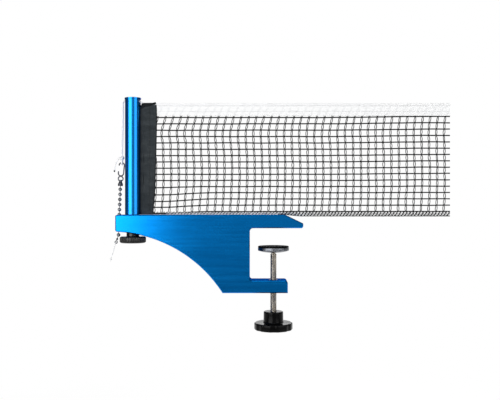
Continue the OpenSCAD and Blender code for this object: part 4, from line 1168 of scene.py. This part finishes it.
def make_chain():
    ball, last = make_ball(), ON_CHAIN @ Matrix.Translation((0, 0, LAST_BALL))
    bend = Matrix.Rotation(math.radians((TAIL_LEAN - CHAIN_LEAN) / 2), 4, "Y")
    balls = [row.grow(chain_nickel, ball, last @ Matrix.Translation((0, 0, BALL_PITCH)), Count=BALLS - 1,
                      StepZ=BALL_PITCH),
             row.grow(chain_nickel, ball, last @ bend, Count=1, StepZ=BALL_PITCH)]
    set_piece("chain_balls", join_meshes("chain_balls", balls), "chain")
    pins = row.grow(hook_steel, make_pin(), last @ Matrix.Translation((0, 0, HEAD_S)), Count=BALLS,
                    StepZ=BALL_PITCH)
    set_piece("chain_links", pins, "chain")


def make_tail():
    """The pull string, doubled through the ring at the chain's end, and its knot."""
    loop_r, loop_s = 1.6, 10.8
    half = [(0.5, 30.0), (0.6, 27.5), (0.9, 24.0), (1.25, 20.0), (1.5, 16.5), (loop_r, 13.5)]
    turn = [(loop_r * math.cos(a), loop_s - loop_r * math.sin(a))
            for a in (math.radians(15 * k) for k in range(13))]
    route = [ON_TAIL @ Vector((0, y, s)) for y, s in half + turn + [(-y, s) for y, s in half[::-1]]]
    shell = Shell()
    centres = shell.tube(smooth_path(route, 4), 0.4, 10)
    string = set_piece("tail_string", shell.mesh("tail_string", pale_string, 60), "tail")
    knot = Shell()
    knot.tube(overhand(1.0, 0.55), 0.45, 9, loop=True, place=ON_TAIL @ Matrix.Translation((0, 0, 31.2)))
    for k, spread in enumerate((-0.35, 0.3)):
        ends = smooth_path([(0, spread * 0.6, 30.0), (0, spread * 0.7, 31.5), (0.15 * spread, spread, 33.0),
                            (0.5 * spread, spread * 1.3, 34.0 + 0.3 * k)], 4)
        knot.tube(ends, 0.36, 8, place=ON_TAIL)
    knot = set_piece("tail_knot", knot.mesh("tail_knot", pale_string, 60), "tail")
    length = sum((b - a).length for a, b in zip(centres, centres[1:]))
    tuple(centres[0] * MM)
    [tuple(p * MM) for p in centres]


# ---- all pieces ----
def dress(node, finish):
    """Gives a CAD node its finish."""
    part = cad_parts[node]
    if not part.material_slots:
        part.data.materials.append(finish.material)
    for place in part.material_slots:
        place.material = finish.material


make_tail()
make_cord_drop()
make_head_cord()
make_cord_knot()
make_chain()
make_clamp_rod()
make_clamp_knob()
make_pad()
make_height_wheel()
make_side_band()
make_net()
make_net_tape()
make_hem()
for node, finish in (("bracket", bracket_blue), ("jaw_bush", oxide_steel), ("ball_end", screw_steel),
                     ("height_screw", screw_steel), ("height_clip", hook_steel), ("post_tube", post_blue),
                     ("post_cap", post_blue), ("post_foot", foot_grey), ("rail_rod", rod_white),
                     ("hook", hook_steel), ("chain_bell", hook_steel), ("chain_end", hook_steel)):
    dress(node, finish)


# ---- stage and light ----
ROOM_FRONT, ROOM_SIDES, ROOM_EVEN = 0.58, 0.19, 0.4


def mirror_rays(light):
    """1 for the rays that metal and glass send out, from a Light Path node."""
    return Value(light.outputs["Is Glossy Ray"]).math("MAXIMUM", light.outputs["Is Transmission Ray"])


def make_floor_finish():
    """White where it is seen and in metal, with the clamp's shadow near it. It is clear from below."""
    lit, glow_near, glow_far = 0.75, 0.42, 0.6
    white = (1, 1, 1, 1)
    material = bpy.data.materials.new("floor")
    material.use_nodes = True
    tree = material.node_tree
    tree.nodes.clear()
    light = add_node(tree, "ShaderNodeLightPath")
    seen = Value(light.outputs["Is Camera Ray"]).math("MAXIMUM", mirror_rays(light))
    matt = add_node(tree, "ShaderNodeBsdfDiffuse", {"Color": (lit, lit, lit, 1)})
    glow = add_node(tree, "ShaderNodeEmission", {"Color": white, "Strength": seen * glow_near})
    near = add_node(tree, "ShaderNodeAddShader", {0: matt.outputs[0], 1: glow.outputs[0]})
    strength = seen * glow_far + (1 - glow_far)
    plain = add_node(tree, "ShaderNodeEmission", {"Color": white, "Strength": strength})
    place = add_node(tree, "ShaderNodeTexCoord").outputs["Object"]
    reach = add_node(tree, "ShaderNodeVectorMath", {0: place}, operation="LENGTH").outputs["Value"]
    top = add_node(tree, "ShaderNodeMixShader", {
        0: Value(reach).between(0.75, 1.25), 1: near.outputs[0], 2: plain.outputs[0]})
    below = add_node(tree, "ShaderNodeNewGeometry").outputs["Backfacing"]
    clear = add_node(tree, "ShaderNodeBsdfTransparent")
    both = add_node(tree, "ShaderNodeMixShader", {0: below, 1: top.outputs[0], 2: clear.outputs[0]})
    add_node(tree, "ShaderNodeOutputMaterial", {"Surface": both.outputs[0]})
    return material


def make_floor():
    half, front, z = 6.0, -1.3, -0.45
    corners = [(-half, front, z), (half, front, z), (half, half, z), (-half, half, z)]
    mesh = bpy.data.meshes.new("floor")
    mesh.from_pydata(corners, [], [(0, 1, 2, 3)])
    mesh.materials.append(make_floor_finish())
    floor = bpy.data.objects.new("floor", mesh)
    bpy.context.scene.collection.objects.link(floor)


def make_world():
    """A plain room: white where seen, even for matt surfaces, and dim at its sides for polished ones."""
    world = bpy.data.worlds.new("room")
    bpy.context.scene.world = world
    world.use_nodes = True
    tree = world.node_tree
    tree.nodes.clear()
    light = add_node(tree, "ShaderNodeLightPath")
    way = add_node(tree, "ShaderNodeTexCoord").outputs["Generated"]
    _, away, up = [Value(part) for part in add_node(tree, "ShaderNodeSeparateXYZ", {0: way}).outputs]
    backdrop = away.between(0.90, 0.96) * mirror_rays(light)
    seen = Value(light.outputs["Is Camera Ray"]).math("MAXIMUM", backdrop)
    room = away.between(-0.85, -0.2, ROOM_FRONT, ROOM_SIDES) * up.between(-0.16, 0.03, 0.5, 1.0)
    matt = Value(light.outputs["Is Diffuse Ray"])
    strength = seen + (seen * -1.0 + 1.0) * (matt * ROOM_EVEN + (matt * -1.0 + 1.0) * room)
    back = add_node(tree, "ShaderNodeBackground", {"Color": (1, 1, 1, 1), "Strength": strength})
    add_node(tree, "ShaderNodeOutputWorld", {"Surface": back.outputs[0]})


def make_lamp(name, azimuth, elevation, width, height, radiance):
    """A soft box that faces the clamp. Azimuth is 0 in front and positive to the right."""
    distance = 1.6
    data = bpy.data.lights.new(name, "AREA")
    data.shape = "RECTANGLE"
    data.size, data.size_y = width, height
    data.energy = radiance * math.pi * width * height
    lamp = bpy.data.objects.new(name, data)
    a, e = math.radians(azimuth), math.radians(elevation)
    away = Vector((math.sin(a) * math.cos(e), -math.cos(a) * math.cos(e), math.sin(e)))
    lamp.location = Vector((-0.03, 0, 0.03)) + away * distance
    lamp.rotation_mode = "QUATERNION"
    lamp.rotation_quaternion = away.to_track_quat("Z", "Y")
    lamp.visible_camera = False
    bpy.context.scene.collection.objects.link(lamp)


make_floor()
make_world()
make_lamp("key", -35, 6, 1.3, 0.8, 4.4)
make_lamp("right", 47, 8, 1.1, 0.8, 2.2)
make_lamp("top", -10, 66, 1.1, 1.1, 1.2)
make_lamp("back", 165, 30, 1.5, 1.2, 1.5)
bpy.context.scene.view_settings.view_transform = "Standard"
